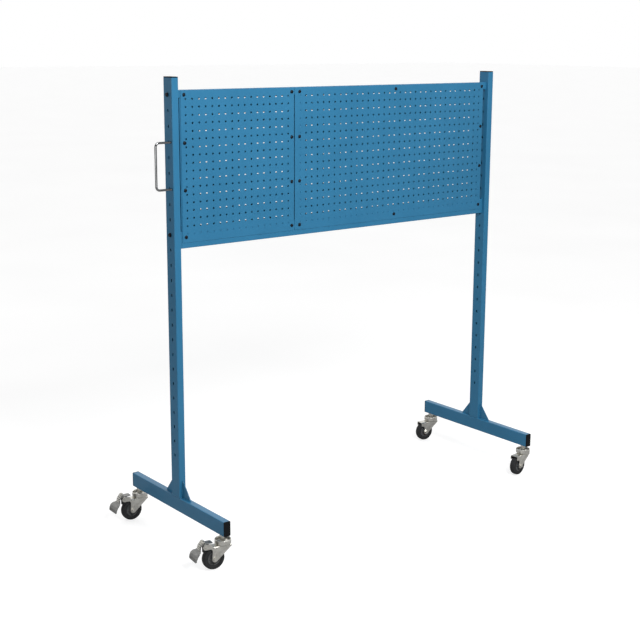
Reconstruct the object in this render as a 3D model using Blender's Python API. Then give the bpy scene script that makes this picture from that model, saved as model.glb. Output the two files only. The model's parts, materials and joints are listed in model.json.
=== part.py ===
"""Double-sided pegboard display stand on four swivel castors, two of them braked.

Units are metres. +Z is up, -Y is the front, and -X is the end with the push handle.
The origin is on the floor, at the centre of the stand's footprint.
"""

import math

import bmesh
import bpy
from mathutils import Vector

# ---- driving dimensions: the whole stand ----
OVERALL_WIDTH = 1.4425
OVERALL_HEIGHT = 1.550
FOOT_LENGTH = 0.577
FOOT_UNDERSIDE = 0.1105
FIT_GAP = 0.0003

# ---- square tube ----
TUBE_WIDTH = 0.025
TUBE_WALL = 0.0015
TUBE_CORNER = 0.003
CORNER_STEPS = 3
UPRIGHT_DEPTH = 0.050
FOOT_HEIGHT = 0.050
CAP_FLANGE = 0.003
CAP_PLUG = 0.014

# ---- side slots in the uprights ----
SLOT_COUNT = 25
SLOT_PITCH = 0.0495
SLOT_TOP_Z = 1.494
SLOT_WIDTH = 0.0065
SLOT_HEIGHT = 0.011
FRAME_BOLT_SLOTS = (0, 9)

# ---- gussets ----
GUSSET_BASE = 0.049
GUSSET_RISE = 0.058
GUSSET_TIP = 0.005
GUSSET_THICKNESS = 0.003

# ---- board frame ----
FRAME_DEPTH = 0.025
FRAME_TOP_Z = 1.508
FRAME_BOTTOM_Z = 1.0018
TOP_RAIL_HEIGHT = 0.025
BOTTOM_RAIL_HEIGHT = 0.055
POST_WIDTH = 0.022
LEFT_END_POST_X = -0.6757
END_PLATE = 0.003
END_PLATE_MARGIN = 0.005

# ---- sheets and their screws ----
SHEET_THICKNESS = 0.0012
SHEET_TOP_Z = 1.506
SHEET_BOTTOM_Z = 1.020
SHEET_LEFT_X = -0.683
SHEET_RIGHT_X = 0.679
SEAM_X = -0.2316
SEAM_GAP = 0.003
SCREW_TOP_Z = 1.4928
SCREW_ROW_PITCH = 0.1517
SCREW_ROWS = 4
LEFT_SCREW_COLUMNS = (-0.6702, -0.2432)
RIGHT_SCREW_COLUMNS = (-0.2096, 0.6701)
MIDDLE_SCREW_X = 0.2287
SCREW_SHANK_RADIUS = 0.002
SCREW_SIDES = 6

# ---- frame bolts ----
BOLT_RADIUS = 0.003
BOLT_FLANGE_RADIUS = 0.007
BOLT_HEX_RADIUS = 0.0056
BOLT_FLANGE = 0.0015
BOLT_FLANGE_SLOPE = 0.0005
BOLT_HEAD_HEIGHT = 0.006
BOLT_REACH = 0.010

# ---- push handle ----
HANDLE_SLOTS = (3, 6)
HANDLE_Y = -0.0155
HANDLE_REACH = 0.0605
HANDLE_RADIUS = 0.004
HANDLE_BEND = 0.012
HANDLE_SCREW_RADIUS = 0.0025
HANDLE_SCREW_DEPTH = 0.012
HANDLE_BORE_SIDES = 8

# ---- castors, in each castor's own frame: +X trails, the wheel turns about Y ----
STEM_INSET = 0.0269
TRAIL = 0.035
WHEEL_RADIUS = 0.0375
RIM_RADIUS = 0.0225
RIM_THICKNESS = 0.004
RIM_HALF_WIDTH = 0.0092
HUB_RADIUS = 0.009
HUB_HALF_WIDTH = 0.013
WEB_HALF_WIDTH = 0.006
TREAD_SHOULDERS = ((0.0110, 0.0115), (0.0050, 0.0120), (0.0015, 0.0095), (0.0, 0.0050))
AXLE_RADIUS = 0.004
FORK_HALF_GAP = 0.014
FORK_PLATE = 0.0025
FORK_TOP_Z = 0.079
HEAD_FLOOR_Z = FORK_TOP_Z + 0.0002
HEAD_RADIUS = 0.027
HEAD_RIM_Z = 0.096
HEAD_SLOPE = 0.006
HEAD_CHAMFER = 0.0015
CUT_REACH = 0.100
RACE_RADIUS = 0.0185
BALL_RADIUS = 0.003
BALL_COUNT = 8
STEM_RADIUS = 0.006
KINGPIN_RADIUS = 0.005
STEM_REACH = 0.019
RIVET_RADIUS = 0.008
RIVET_HEIGHT = 0.003
RACE_PLATE_RADIUS = 0.0225
RACE_PLATE_HEIGHT = 0.0025
COLLAR_RADIUS = 0.0085
CAGE_HALF_WIDTH = 0.0015
CAGE_HALF_HEIGHT = 0.0008
HEX_RADIUS = 0.0102
HEX_HEIGHT = 0.009
AXLE_HEX_RADIUS = 0.0072
AXLE_HEX_HEIGHT = 0.0055
BRAKE_PIN = (0.067, 0.084)
BRAKE_PIN_RADIUS = 0.0025
BRAKE_PIN_HEAD_RADIUS = 0.004
BRAKE_PIN_HEAD_HEIGHT = 0.0017
BRAKE_TRAVEL = math.radians(10)
SHOE_START = math.radians(38)
SHOE_TURN = math.radians(14)
SHOE_GAP = 0.0008
CHEEK_INNER = 0.010
CHEEK_OUTER = 0.012
CHEEK_FRONT_X = 0.056
CHEEK_REAR_X = 0.075
CHEEK_LOW_Z = 0.078
LEVER_SLOT_X = 0.0405
FORK_NOSE = (-0.024, 0.073)
FORK_BOSS_RADIUS = 0.010
FORK_SKIRT = ((0.0435, 0.053), (0.0455, 0.061), (0.058, 0.064))
FORK_ARM_LOW = ((0.0435, 0.068), (0.048, 0.074))
FORK_ARM_HIGH = ((0.052, 0.0915), (0.046, 0.088))
FORK_ARM_RADIUS = 0.010
PEDAL_THICKNESS = 0.0025
PEDAL_PATH = (
    (0.0400, 0.0935),
    (0.0750, 0.0935),
    (0.0812, 0.0905),
    (0.0832, 0.0835),
    (0.0842, 0.0765),
    (0.0870, 0.0715),
    (0.0935, 0.0680),
    (0.1003, 0.0620),
    (0.1045, 0.0530),
    (0.1065, 0.0425),
)
PEDAL_HALF_WIDTHS = (0.012, 0.012, 0.012, 0.012, 0.013, 0.018, 0.024, 0.0275, 0.028, 0.026)
CASTORS = (
    ("left_front", -1, -1, 172.0, True),
    ("left_rear", -1, 1, 177.0, True),
    ("right_front", 1, -1, 187.6, False),
    ("right_rear", 1, 1, 173.4, False),
)

# ---- places worked out from the dimensions above ----
FOOT_TOP = FOOT_UNDERSIDE + FOOT_HEIGHT
UPRIGHT_X = (OVERALL_WIDTH - TUBE_WIDTH) / 2
INNER_X = UPRIGHT_X - TUBE_WIDTH / 2
STEM_Y = FOOT_LENGTH / 2 - STEM_INSET
SHEET_BACK_Y = FRAME_DEPTH / 2 + FIT_GAP
SHEET_FACE_Y = SHEET_BACK_Y + SHEET_THICKNESS
SLOT_HEIGHTS = [SLOT_TOP_Z - SLOT_PITCH * k for k in range(SLOT_COUNT)]
SCREW_HEIGHTS = [SCREW_TOP_Z - SCREW_ROW_PITCH * k for k in range(SCREW_ROWS)]
SCREW_COLUMNS = LEFT_SCREW_COLUMNS + RIGHT_SCREW_COLUMNS
POST_PLACES = (LEFT_END_POST_X,) + SCREW_COLUMNS[1:]


# ---------------------------------------------------------------- outlines
def circle(radius, sides, centre=(0.0, 0.0), start=0.0, turn=2 * math.pi):
    """Points on a circle, or on part of one when turn is less than a full turn."""
    steps = sides if turn >= 2 * math.pi - 1e-9 else sides - 1
    angles = [start + turn * k / steps for k in range(sides)]
    return [(centre[0] + radius * math.cos(a), centre[1] + radius * math.sin(a)) for a in angles]


def rectangle(low, high):
    return [(low[0], low[1]), (high[0], low[1]), (high[0], high[1]), (low[0], high[1])]


def rounded_rectangle(width, height, radius, centre=(0.0, 0.0)):
    """A rectangle about a centre, with an arc at each corner."""
    outline = []
    for k, (sx, sy) in enumerate(((1, 1), (-1, 1), (-1, -1), (1, -1))):
        corner = (centre[0] + sx * (width / 2 - radius), centre[1] + sy * (height / 2 - radius))
        outline += circle(radius, CORNER_STEPS + 1, corner, k * math.pi / 2, math.pi / 2)
    return outline


def hexagon(radius, centre=(0.0, 0.0)):
    """A hexagon of twelve points, its corners and the middles of its sides."""
    corners = circle(radius, 6, centre)
    outline = []
    for k, (a, b) in enumerate(corners):
        c, d = corners[(k + 1) % 6]
        outline += [(a, b), ((a + c) / 2, (b + d) / 2)]
    return outline


def turned_about(point, pivot, angle):
    """A point in a castor's side view, turned about a pivot from +X towards +Z."""
    dx, dz = point[0] - pivot[0], point[1] - pivot[1]
    c, s = math.cos(angle), math.sin(angle)
    return (pivot[0] + dx * c - dz * s, pivot[1] + dx * s + dz * c)


# ---------------------------------------------------------------- solids
def lift(axis, a, b, height):
    """The 3-D point at (a, b) across an axis and at a height along it."""
    return {"X": (height, a, b), "Y": (a, height, b), "Z": (a, b, height)}[axis]


def add_loop(mesh, outline, height, axis):
    return [mesh.verts.new(lift(axis, a, b, height)) for a, b in outline]


def join_loops(mesh, first, second):
    """Faces between two loops of the same length, or between a loop and a single point."""
    count = max(len(first), len(second))
    for k in range(count):
        n = (k + 1) % count
        corners = [first[k % len(first)], first[n % len(first)]]
        corners += [second[n % len(second)], second[k % len(second)]]
        mesh.faces.new(list(dict.fromkeys(corners)))


def add_prism(mesh, outline, low, high, axis="Z"):
    bottom = add_loop(mesh, outline, low, axis)
    top = add_loop(mesh, outline, high, axis)
    mesh.faces.new(bottom)
    mesh.faces.new(top)
    join_loops(mesh, bottom, top)


def add_box(mesh, low, high):
    add_prism(mesh, rectangle(low[:2], high[:2]), low[2], high[2])


def add_tube(mesh, outer, inner, low, high, axis="Z"):
    """A straight tube with open ends, between two outlines of the same length."""
    ends = ((outer, low), (outer, high), (inner, high), (inner, low))
    loops = [add_loop(mesh, outline, height, axis) for outline, height in ends]
    for k in range(4):
        join_loops(mesh, loops[k], loops[(k + 1) % 4])


def add_turned(mesh, profile, sides, axis="Z", centre=(0.0, 0.0), ring=False):
    """A profile of (radius, height) points turned about an axis. A ring's profile closes."""
    loops = []
    for radius, height in profile:
        outline = circle(radius, sides, centre) if radius > 0 else [centre]
        loops.append(add_loop(mesh, outline, height, axis))
    for k in range(len(loops) if ring else len(loops) - 1):
        join_loops(mesh, loops[k], loops[(k + 1) % len(loops)])


def add_plate_sweep(mesh, path, half_widths, thickness):
    """A bent plate: a path in the XZ plane with a width along Y at each point."""
    loops = []
    for k, (x, z) in enumerate(path):
        before, after = path[max(k - 1, 0)], path[min(k + 1, len(path) - 1)]
        along = Vector((after[0] - before[0], after[1] - before[1])).normalized()
        across = Vector((-along.y, along.x)) * thickness / 2
        half = half_widths[k]
        corners = ((across, -half), (across, half), (-across, half), (-across, -half))
        loops.append([mesh.verts.new((x + off.x, y, z + off.y)) for off, y in corners])
    mesh.faces.new(loops[0])
    mesh.faces.new(loops[-1])
    for k in range(len(loops) - 1):
        join_loops(mesh, loops[k], loops[k + 1])


def add_rod(mesh, path, radius, sides):
    """A round rod along a path in a plane of constant Y."""
    loops = []
    for k, point in enumerate(path):
        before, after = path[max(k - 1, 0)], path[min(k + 1, len(path) - 1)]
        along = (Vector(after) - Vector(before)).normalized()
        side = Vector((0, 1, 0))
        across = along.cross(side)
        ring = circle(radius, sides)
        loops.append([mesh.verts.new(Vector(point) + across * a + side * b) for a, b in ring])
    mesh.faces.new(loops[0])
    mesh.faces.new(loops[-1])
    for k in range(len(loops) - 1):
        join_loops(mesh, loops[k], loops[k + 1])


# ---------------------------------------------------------------- objects
def linear(channel):
    value = channel / 255
    return value / 12.92 if value <= 0.04045 else ((value + 0.055) / 1.055) ** 2.4


def make_material(name, colour, roughness, metallic):
    """A Principled material from an 8-bit screen colour."""
    material = bpy.data.materials.new(name)
    material.use_nodes = True
    shader = material.node_tree.nodes["Principled BSDF"]
    shader.inputs["Base Color"].default_value = [linear(c) for c in colour] + [1.0]
    shader.inputs["Roughness"].default_value = roughness
    shader.inputs["Metallic"].default_value = metallic
    return material


def make_object(name, mesh, material, parent, location=(0, 0, 0)):
    """Turn a bmesh into a named object with outward faces and smooth round sides."""
    bmesh.ops.recalc_face_normals(mesh, faces=mesh.faces)
    data = bpy.data.meshes.new(name)
    mesh.to_mesh(data)
    mesh.free()
    data.shade_smooth()
    data.set_sharp_from_angle(angle=math.radians(35))
    data.materials.append(material)
    piece = bpy.data.objects.new(name, data)
    bpy.context.scene.collection.objects.link(piece)
    piece.parent = parent
    piece.location = location
    return piece


def make_empty(name, parent, location=(0, 0, 0), turn=0.0):
    empty = bpy.data.objects.new(name, None)
    empty.empty_display_size = 0.02
    bpy.context.scene.collection.objects.link(empty)
    empty.parent = parent
    empty.location = location
    empty.rotation_euler.z = turn
    return empty


def combine(piece, mesh, operation="DIFFERENCE"):
    """Cut a bmesh out of a piece, or unite the two, and keep the tool as a wire guide."""
    tool = make_object(piece.name + "_tool", mesh, piece.active_material, piece.parent)
    tool.location = piece.location
    tool.hide_render = True
    tool.display_type = "WIRE"
    boolean = piece.modifiers.new(operation.title(), "BOOLEAN")
    boolean.operation = operation
    boolean.solver = "EXACT"
    boolean.object = tool


# ---------------------------------------------------------------- uprights and feet
def build_upright(side, sign, parent, paint):
    """A slotted upright, with holes for the handle's screws at the handle end."""
    mesh = bmesh.new()
    outer = rounded_rectangle(TUBE_WIDTH, UPRIGHT_DEPTH, TUBE_CORNER)
    inner = rounded_rectangle(TUBE_WIDTH - 2 * TUBE_WALL, UPRIGHT_DEPTH - 2 * TUBE_WALL, TUBE_WALL)
    top = OVERALL_HEIGHT - CAP_FLANGE - FIT_GAP
    add_tube(mesh, outer, inner, FOOT_TOP + FIT_GAP, top)
    piece = make_object(side + "_upright", mesh, paint, parent, (sign * UPRIGHT_X, 0, 0))
    slots = bmesh.new()
    reach = TUBE_WIDTH
    for z in SLOT_HEIGHTS:
        low = (-SLOT_WIDTH / 2, z - SLOT_HEIGHT / 2)
        high = (SLOT_WIDTH / 2, z + SLOT_HEIGHT / 2)
        add_prism(slots, rectangle(low, high), -reach, reach, "X")
    if sign < 0:
        for k in HANDLE_SLOTS:
            hole = circle(HANDLE_SCREW_RADIUS + FIT_GAP, HANDLE_BORE_SIDES, (HANDLE_Y, SLOT_HEIGHTS[k]))
            add_prism(slots, hole, -reach, reach, "X")
    combine(piece, slots)


def build_upright_cap(side, sign, parent, plastic):
    """A push-in cap: a thin flange over the tube's end and a plug inside it."""
    mesh = bmesh.new()
    plug_width = TUBE_WIDTH - 2 * TUBE_WALL - 2 * FIT_GAP
    plug_depth = UPRIGHT_DEPTH - 2 * TUBE_WALL - 2 * FIT_GAP
    plug = rounded_rectangle(plug_width, plug_depth, TUBE_WALL)
    flange = rounded_rectangle(TUBE_WIDTH, UPRIGHT_DEPTH, TUBE_CORNER)
    base = OVERALL_HEIGHT - CAP_FLANGE
    steps = ((plug, base - CAP_PLUG), (plug, base), (flange, base), (flange, OVERALL_HEIGHT))
    add_steps(mesh, steps, "Z")
    make_object(side + "_upright_cap", mesh, plastic, parent, (sign * UPRIGHT_X, 0, 0))


def add_steps(mesh, steps, axis):
    """A solid through several outlines of the same length, closed at both ends."""
    loops = [add_loop(mesh, outline, height, axis) for outline, height in steps]
    mesh.faces.new(loops[0])
    mesh.faces.new(loops[-1])
    for first, second in zip(loops, loops[1:]):
        join_loops(mesh, first, second)


def build_foot(side, sign, parent, paint):
    """A foot tube lying front to back, with a hole in its underside for each castor stem."""
    centre = (0, FOOT_UNDERSIDE + FOOT_HEIGHT / 2)
    mesh = bmesh.new()
    outer = rounded_rectangle(TUBE_WIDTH, FOOT_HEIGHT, TUBE_CORNER, centre)
    inner_size = (TUBE_WIDTH - 2 * TUBE_WALL, FOOT_HEIGHT - 2 * TUBE_WALL)
    inner = rounded_rectangle(*inner_size, TUBE_WALL, centre)
    end = FOOT_LENGTH / 2 - CAP_FLANGE - FIT_GAP
    add_tube(mesh, outer, inner, -end, end, "Y")
    piece = make_object(side + "_foot", mesh, paint, parent, (sign * UPRIGHT_X, 0, 0))
    holes = bmesh.new()
    for y in (-1, 1):
        hole = circle(STEM_RADIUS + 2 * FIT_GAP, 12, (0, y * STEM_Y))
        add_prism(holes, hole, FOOT_UNDERSIDE - TUBE_WALL, FOOT_UNDERSIDE + 2 * TUBE_WALL)
    combine(piece, holes)


def build_foot_plug(side, sign, end, facing, parent, plastic):
    """A push-in plug in the open end of a foot."""
    centre = (0, FOOT_UNDERSIDE + FOOT_HEIGHT / 2)
    plug_width = TUBE_WIDTH - 2 * TUBE_WALL - 2 * FIT_GAP
    plug_height = FOOT_HEIGHT - 2 * TUBE_WALL - 2 * FIT_GAP
    plug = rounded_rectangle(plug_width, plug_height, TUBE_WALL, centre)
    flange = rounded_rectangle(TUBE_WIDTH, FOOT_HEIGHT, TUBE_CORNER, centre)
    tip = facing * FOOT_LENGTH / 2
    base = facing * (FOOT_LENGTH / 2 - CAP_FLANGE)
    mesh = bmesh.new()
    steps = ((plug, base - facing * CAP_PLUG), (plug, base), (flange, base), (flange, tip))
    add_steps(mesh, steps, "Y")
    name = f"{side}_{end}_foot_plug"
    make_object(name, mesh, plastic, parent, (sign * UPRIGHT_X, 0, 0))


def build_gusset(side, sign, end, facing, parent, paint):
    """A triangular plate in the corner between an upright and its foot."""
    face = UPRIGHT_DEPTH / 2 + FIT_GAP
    floor = FOOT_TOP + FIT_GAP
    outline = [
        (face, floor),
        (face + GUSSET_BASE, floor),
        (face + GUSSET_BASE, floor + GUSSET_TIP / 2),
        (face + GUSSET_TIP, floor + GUSSET_RISE),
        (face, floor + GUSSET_RISE),
    ]
    mesh = bmesh.new()
    half = GUSSET_THICKNESS / 2
    add_prism(mesh, [(facing * y, z) for y, z in outline], -half, half, "X")
    name = f"{side}_{end}_gusset"
    make_object(name, mesh, paint, parent, (sign * UPRIGHT_X, 0, 0))


# ---------------------------------------------------------------- board frame
def screw_places():
    """Each sheet screw's (x, z): four rows on the posts, two at mid-width on the rails."""
    places = [(x, z) for x in SCREW_COLUMNS for z in SCREW_HEIGHTS]
    return places + [(MIDDLE_SCREW_X, SCREW_HEIGHTS[0]), (MIDDLE_SCREW_X, SCREW_HEIGHTS[-1])]


def screw_holes(low, high, inside_x, inside_z):
    """Drill tools, from low to high along Y, at the screws inside a stretch of X and Z."""
    mesh = bmesh.new()
    for x, z in screw_places():
        if inside_x[0] < x < inside_x[1] and inside_z[0] < z < inside_z[1]:
            hole = circle(SCREW_SHANK_RADIUS + FIT_GAP, SCREW_SIDES, (x, z))
            add_prism(mesh, hole, low, high, "Y")
    return mesh


def build_rail(name, low_z, high_z, plate_span, bolt_z, parent, paint):
    """A rail tube between the uprights, with a drilled plate welded over each end."""
    end = INNER_X - FIT_GAP
    tube_end = end - END_PLATE / 2
    centre = (0, (low_z + high_z) / 2)
    height = high_z - low_z
    outer = rounded_rectangle(FRAME_DEPTH, height, TUBE_WALL, centre)
    bore = (FRAME_DEPTH - 2 * TUBE_WALL, height - 2 * TUBE_WALL)
    inner = rounded_rectangle(*bore, TUBE_WALL / 2, centre)
    mesh = bmesh.new()
    add_tube(mesh, outer, inner, -tube_end, tube_end, "X")
    piece = make_object(name, mesh, paint, parent)
    plates = bmesh.new()
    half_depth = FRAME_DEPTH / 2 - TUBE_WALL / 2
    holes = screw_holes(-FRAME_DEPTH, FRAME_DEPTH, (-end, end), (low_z, high_z))
    for sign in (-1, 1):
        near, far = sorted((sign * (end - END_PLATE), sign * end))
        add_box(plates, (near, -half_depth, plate_span[0]), (far, half_depth, plate_span[1]))
        hole = circle(BOLT_RADIUS + FIT_GAP, 12, (0, bolt_z))
        add_prism(holes, hole, near - END_PLATE, far + END_PLATE, "X")
    combine(piece, plates, "UNION")
    combine(piece, holes)


def build_post(name, x, screw_x, parent, paint):
    """A frame post between the rails, drilled for the sheet screws in the middle rows."""
    low = FRAME_BOTTOM_Z + BOTTOM_RAIL_HEIGHT + FIT_GAP
    high = FRAME_TOP_Z - TOP_RAIL_HEIGHT - FIT_GAP
    outer = rounded_rectangle(POST_WIDTH, FRAME_DEPTH, TUBE_WALL)
    inner = rounded_rectangle(POST_WIDTH - 2 * TUBE_WALL, FRAME_DEPTH - 2 * TUBE_WALL, TUBE_WALL / 2)
    mesh = bmesh.new()
    add_tube(mesh, outer, inner, low, high)
    piece = make_object(name, mesh, paint, parent, (x, 0, 0))
    holes = bmesh.new()
    for z in SCREW_HEIGHTS[1:-1]:
        hole = circle(SCREW_SHANK_RADIUS + FIT_GAP, SCREW_SIDES, (screw_x - x, z))
        add_prism(holes, hole, -FRAME_DEPTH, FRAME_DEPTH, "Y")
    combine(piece, holes)


def build_sheet(name, facing, low_x, high_x, parent, paint):
    """One board sheet, screwed to the front or the back of the frame."""
    span = sorted((facing * SHEET_BACK_Y, facing * SHEET_FACE_Y))
    mesh = bmesh.new()
    add_box(mesh, (low_x, span[0], SHEET_BOTTOM_Z), (high_x, span[1], SHEET_TOP_Z))
    piece = make_object(name, mesh, paint, parent)
    heights = (SHEET_BOTTOM_Z, SHEET_TOP_Z)
    drill = (span[0] - SHEET_THICKNESS, span[1] + SHEET_THICKNESS)
    combine(piece, screw_holes(*drill, (low_x, high_x), heights))


def build_frame_bolt(name, sign, z, parent, steel):
    """A flanged bolt through an upright's slot into the tapped plate at a rail's end."""
    face = OVERALL_WIDTH / 2 + FIT_GAP
    tip = INNER_X - BOLT_REACH
    centre = (0, z)
    shank = circle(BOLT_RADIUS, 12, centre)
    flange = circle(BOLT_FLANGE_RADIUS, 12, centre)
    head = hexagon(BOLT_HEX_RADIUS, centre)
    steps = ((shank, tip), (shank, face), (flange, face), (flange, face + BOLT_FLANGE))
    neck = face + BOLT_FLANGE + BOLT_FLANGE_SLOPE
    steps += ((head, neck), (head, face + BOLT_HEAD_HEIGHT))
    mesh = bmesh.new()
    add_steps(mesh, [(outline, sign * x) for outline, x in steps], "X")
    make_object(name, mesh, steel, parent)


# ---------------------------------------------------------------- push handle
def handle_path():
    """The handle's centre line: out from one slot's height, down, and back in."""
    face = -OVERALL_WIDTH / 2 - FIT_GAP
    out = face - HANDLE_REACH + HANDLE_RADIUS
    top, bottom = (SLOT_HEIGHTS[k] for k in HANDLE_SLOTS)
    bend = HANDLE_BEND
    upper = circle(bend, 5, (out + bend, top - bend), math.pi / 2, math.pi / 2)
    lower = circle(bend, 5, (out + bend, bottom + bend), math.pi, math.pi / 2)
    flat = [(face, top)] + upper + lower + [(face, bottom)]
    return [(x, HANDLE_Y, z) for x, z in flat]


def build_handle(parent, chrome):
    """A bent round bar, tapped at both ends for the screws that come through the upright."""
    mesh = bmesh.new()
    add_rod(mesh, handle_path(), HANDLE_RADIUS, 10)
    piece = make_object("push_handle", mesh, chrome, parent)
    face = -OVERALL_WIDTH / 2
    bores = bmesh.new()
    for k in HANDLE_SLOTS:
        bore = circle(HANDLE_SCREW_RADIUS, HANDLE_BORE_SIDES, (HANDLE_Y, SLOT_HEIGHTS[k]))
        add_prism(bores, bore, face - HANDLE_SCREW_DEPTH, face + FIT_GAP, "X")
    combine(piece, bores)


# ---------------------------------------------------------------- castors
def build_stem(name, parent, zinc):
    """A castor's fixed stem: kingpin, its riveted foot, the upper race, a hexagon and the thread."""
    race_low = HEAD_FLOOR_Z + 2 * BALL_RADIUS + 3 * FIT_GAP
    plate_low = FORK_TOP_Z - FORK_PLATE - FIT_GAP
    hex_top = FOOT_UNDERSIDE - FIT_GAP
    kingpin = circle(KINGPIN_RADIUS, 12)
    rivet = circle(RIVET_RADIUS, 12)
    race = circle(RACE_PLATE_RADIUS, 12)
    collar = circle(COLLAR_RADIUS, 12)
    thread = circle(STEM_RADIUS, 12)
    steps = (
        (rivet, plate_low - RIVET_HEIGHT),
        (rivet, plate_low),
        (kingpin, plate_low),
        (kingpin, race_low),
        (race, race_low),
        (race, race_low + RACE_PLATE_HEIGHT),
        (collar, race_low + 2 * RACE_PLATE_HEIGHT),
        (collar, hex_top - HEX_HEIGHT),
        (hexagon(HEX_RADIUS), hex_top - HEX_HEIGHT),
        (hexagon(HEX_RADIUS), hex_top),
        (thread, hex_top),
        (thread, FOOT_UNDERSIDE + STEM_REACH),
    )
    mesh = bmesh.new()
    add_steps(mesh, steps, "Z")
    make_object(name + "_castor_stem", mesh, zinc, parent)


def build_ball_race(name, parent, steel):
    """The caged ring of balls between the fork's head and the stem's race."""
    middle = HEAD_FLOOR_Z + BALL_RADIUS + FIT_GAP
    inner = (RACE_RADIUS - CAGE_HALF_WIDTH, middle - CAGE_HALF_HEIGHT)
    outer = (RACE_RADIUS + CAGE_HALF_WIDTH, middle + CAGE_HALF_HEIGHT)
    cage = rectangle(inner, outer)
    mesh = bmesh.new()
    add_turned(mesh, cage, 16, ring=True)
    piece = make_object(name + "_ball_race", mesh, steel, parent)
    balls = bmesh.new()
    for x, y in circle(RACE_RADIUS, BALL_COUNT):
        ball = bmesh.ops.create_icosphere(balls, subdivisions=1, radius=BALL_RADIUS)
        bmesh.ops.translate(balls, verts=ball["verts"], vec=(x, y, middle))
    combine(piece, balls, "UNION")


def fork_outline(braked):
    """The fork's side view: a leg that narrows to the axle, and behind it a skirt or a brake arm."""
    axle = (TRAIL, WHEEL_RADIUS)
    boss = circle(FORK_BOSS_RADIUS, 7, axle, math.radians(222), math.radians(138))
    outline = [(FORK_NOSE[0], FORK_TOP_Z), FORK_NOSE] + boss
    if braked:
        arm_end = circle(FORK_ARM_RADIUS, 7, BRAKE_PIN, -math.pi / 2, math.pi)
        outline += list(FORK_ARM_LOW) + arm_end + list(FORK_ARM_HIGH)
        return outline + [(LEVER_SLOT_X + FIT_GAP, FORK_TOP_Z)]
    return outline + list(FORK_SKIRT) + [(FORK_SKIRT[-1][0], FORK_TOP_Z)]


def build_fork(name, braked, parent, zinc):
    """A pressed fork: two legs, the plate between them and the open head that holds the balls."""
    half = FORK_HALF_GAP + FORK_PLATE
    underside = FORK_TOP_Z - FORK_PLATE
    mesh = bmesh.new()
    add_prism(mesh, fork_outline(braked), -half, half, "Y")
    piece = make_object(name + "_castor_fork", mesh, zinc, parent)

    wheel_gap = bmesh.new()
    add_box(wheel_gap, (-CUT_REACH, -FORK_HALF_GAP, 0.0), (CUT_REACH, FORK_HALF_GAP, underside))
    combine(piece, wheel_gap)
    if braked:
        lever_gap = bmesh.new()
        low = (LEVER_SLOT_X, -FORK_HALF_GAP, WHEEL_RADIUS)
        add_box(lever_gap, low, (CUT_REACH, FORK_HALF_GAP, CUT_REACH))
        combine(piece, lever_gap)

    bore = KINGPIN_RADIUS + FIT_GAP
    inside = HEAD_RADIUS - FORK_PLATE
    base = underside + FIT_GAP
    profile = [
        (bore, base),
        (HEAD_RADIUS - HEAD_SLOPE, base),
        (HEAD_RADIUS, base + HEAD_SLOPE),
        (HEAD_RADIUS, HEAD_RIM_Z),
        (inside, HEAD_RIM_Z),
        (inside, HEAD_FLOOR_Z + HEAD_CHAMFER),
        (inside - HEAD_CHAMFER, HEAD_FLOOR_Z),
        (bore, HEAD_FLOOR_Z),
    ]
    head = bmesh.new()
    add_turned(head, profile, 20, ring=True)
    combine(piece, head, "UNION")

    holes = bmesh.new()
    add_prism(holes, circle(bore, 20), underside - FORK_PLATE, FORK_TOP_Z + FORK_PLATE)
    add_prism(holes, circle(AXLE_RADIUS + FIT_GAP, 12, (TRAIL, WHEEL_RADIUS)), -2 * half, 2 * half, "Y")
    if braked:
        add_prism(holes, circle(BRAKE_PIN_RADIUS + FIT_GAP, 8, BRAKE_PIN), -2 * half, 2 * half, "Y")
    combine(piece, holes)


def build_axle(name, parent, steel):
    """The axle bolt through the fork's legs, with its nut run home."""
    leg = FORK_HALF_GAP + FORK_PLATE + FIT_GAP
    end = leg + AXLE_HEX_HEIGHT
    head = hexagon(AXLE_HEX_RADIUS)
    shank = circle(AXLE_RADIUS, 12)
    steps = ((head, -end), (head, -leg), (shank, -leg), (shank, leg), (head, leg), (head, end))
    mesh = bmesh.new()
    add_steps(mesh, steps, "Y")
    make_object(name + "_axle_bolt", mesh, steel, parent, (TRAIL, 0, WHEEL_RADIUS))


def mirrored_ring(profile):
    """A ring profile completed by its mirror image about the wheel's middle."""
    return profile + [(radius, -height) for radius, height in reversed(profile)]


def build_wheel(name, parent, grey, rubber):
    """The wheel's moulded core, and the tyre around it."""
    core = mirrored_ring([
        (AXLE_RADIUS + FIT_GAP, -HUB_HALF_WIDTH),
        (HUB_RADIUS, -HUB_HALF_WIDTH),
        (HUB_RADIUS, -WEB_HALF_WIDTH),
        (RIM_RADIUS - RIM_THICKNESS, -WEB_HALF_WIDTH),
        (RIM_RADIUS - RIM_THICKNESS, -RIM_HALF_WIDTH),
        (RIM_RADIUS, -RIM_HALF_WIDTH),
    ])
    mesh = bmesh.new()
    add_turned(mesh, core, 16, "Y", ring=True)
    make_object(name + "_wheel_core", mesh, grey, parent)
    shoulders = [(WHEEL_RADIUS - drop, -half) for drop, half in TREAD_SHOULDERS]
    tyre = mirrored_ring([(RIM_RADIUS + FIT_GAP, -RIM_HALF_WIDTH)] + shoulders)
    mesh = bmesh.new()
    add_turned(mesh, tyre, 24, "Y", ring=True)
    make_object(name + "_tyre", mesh, rubber, parent)


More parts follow.
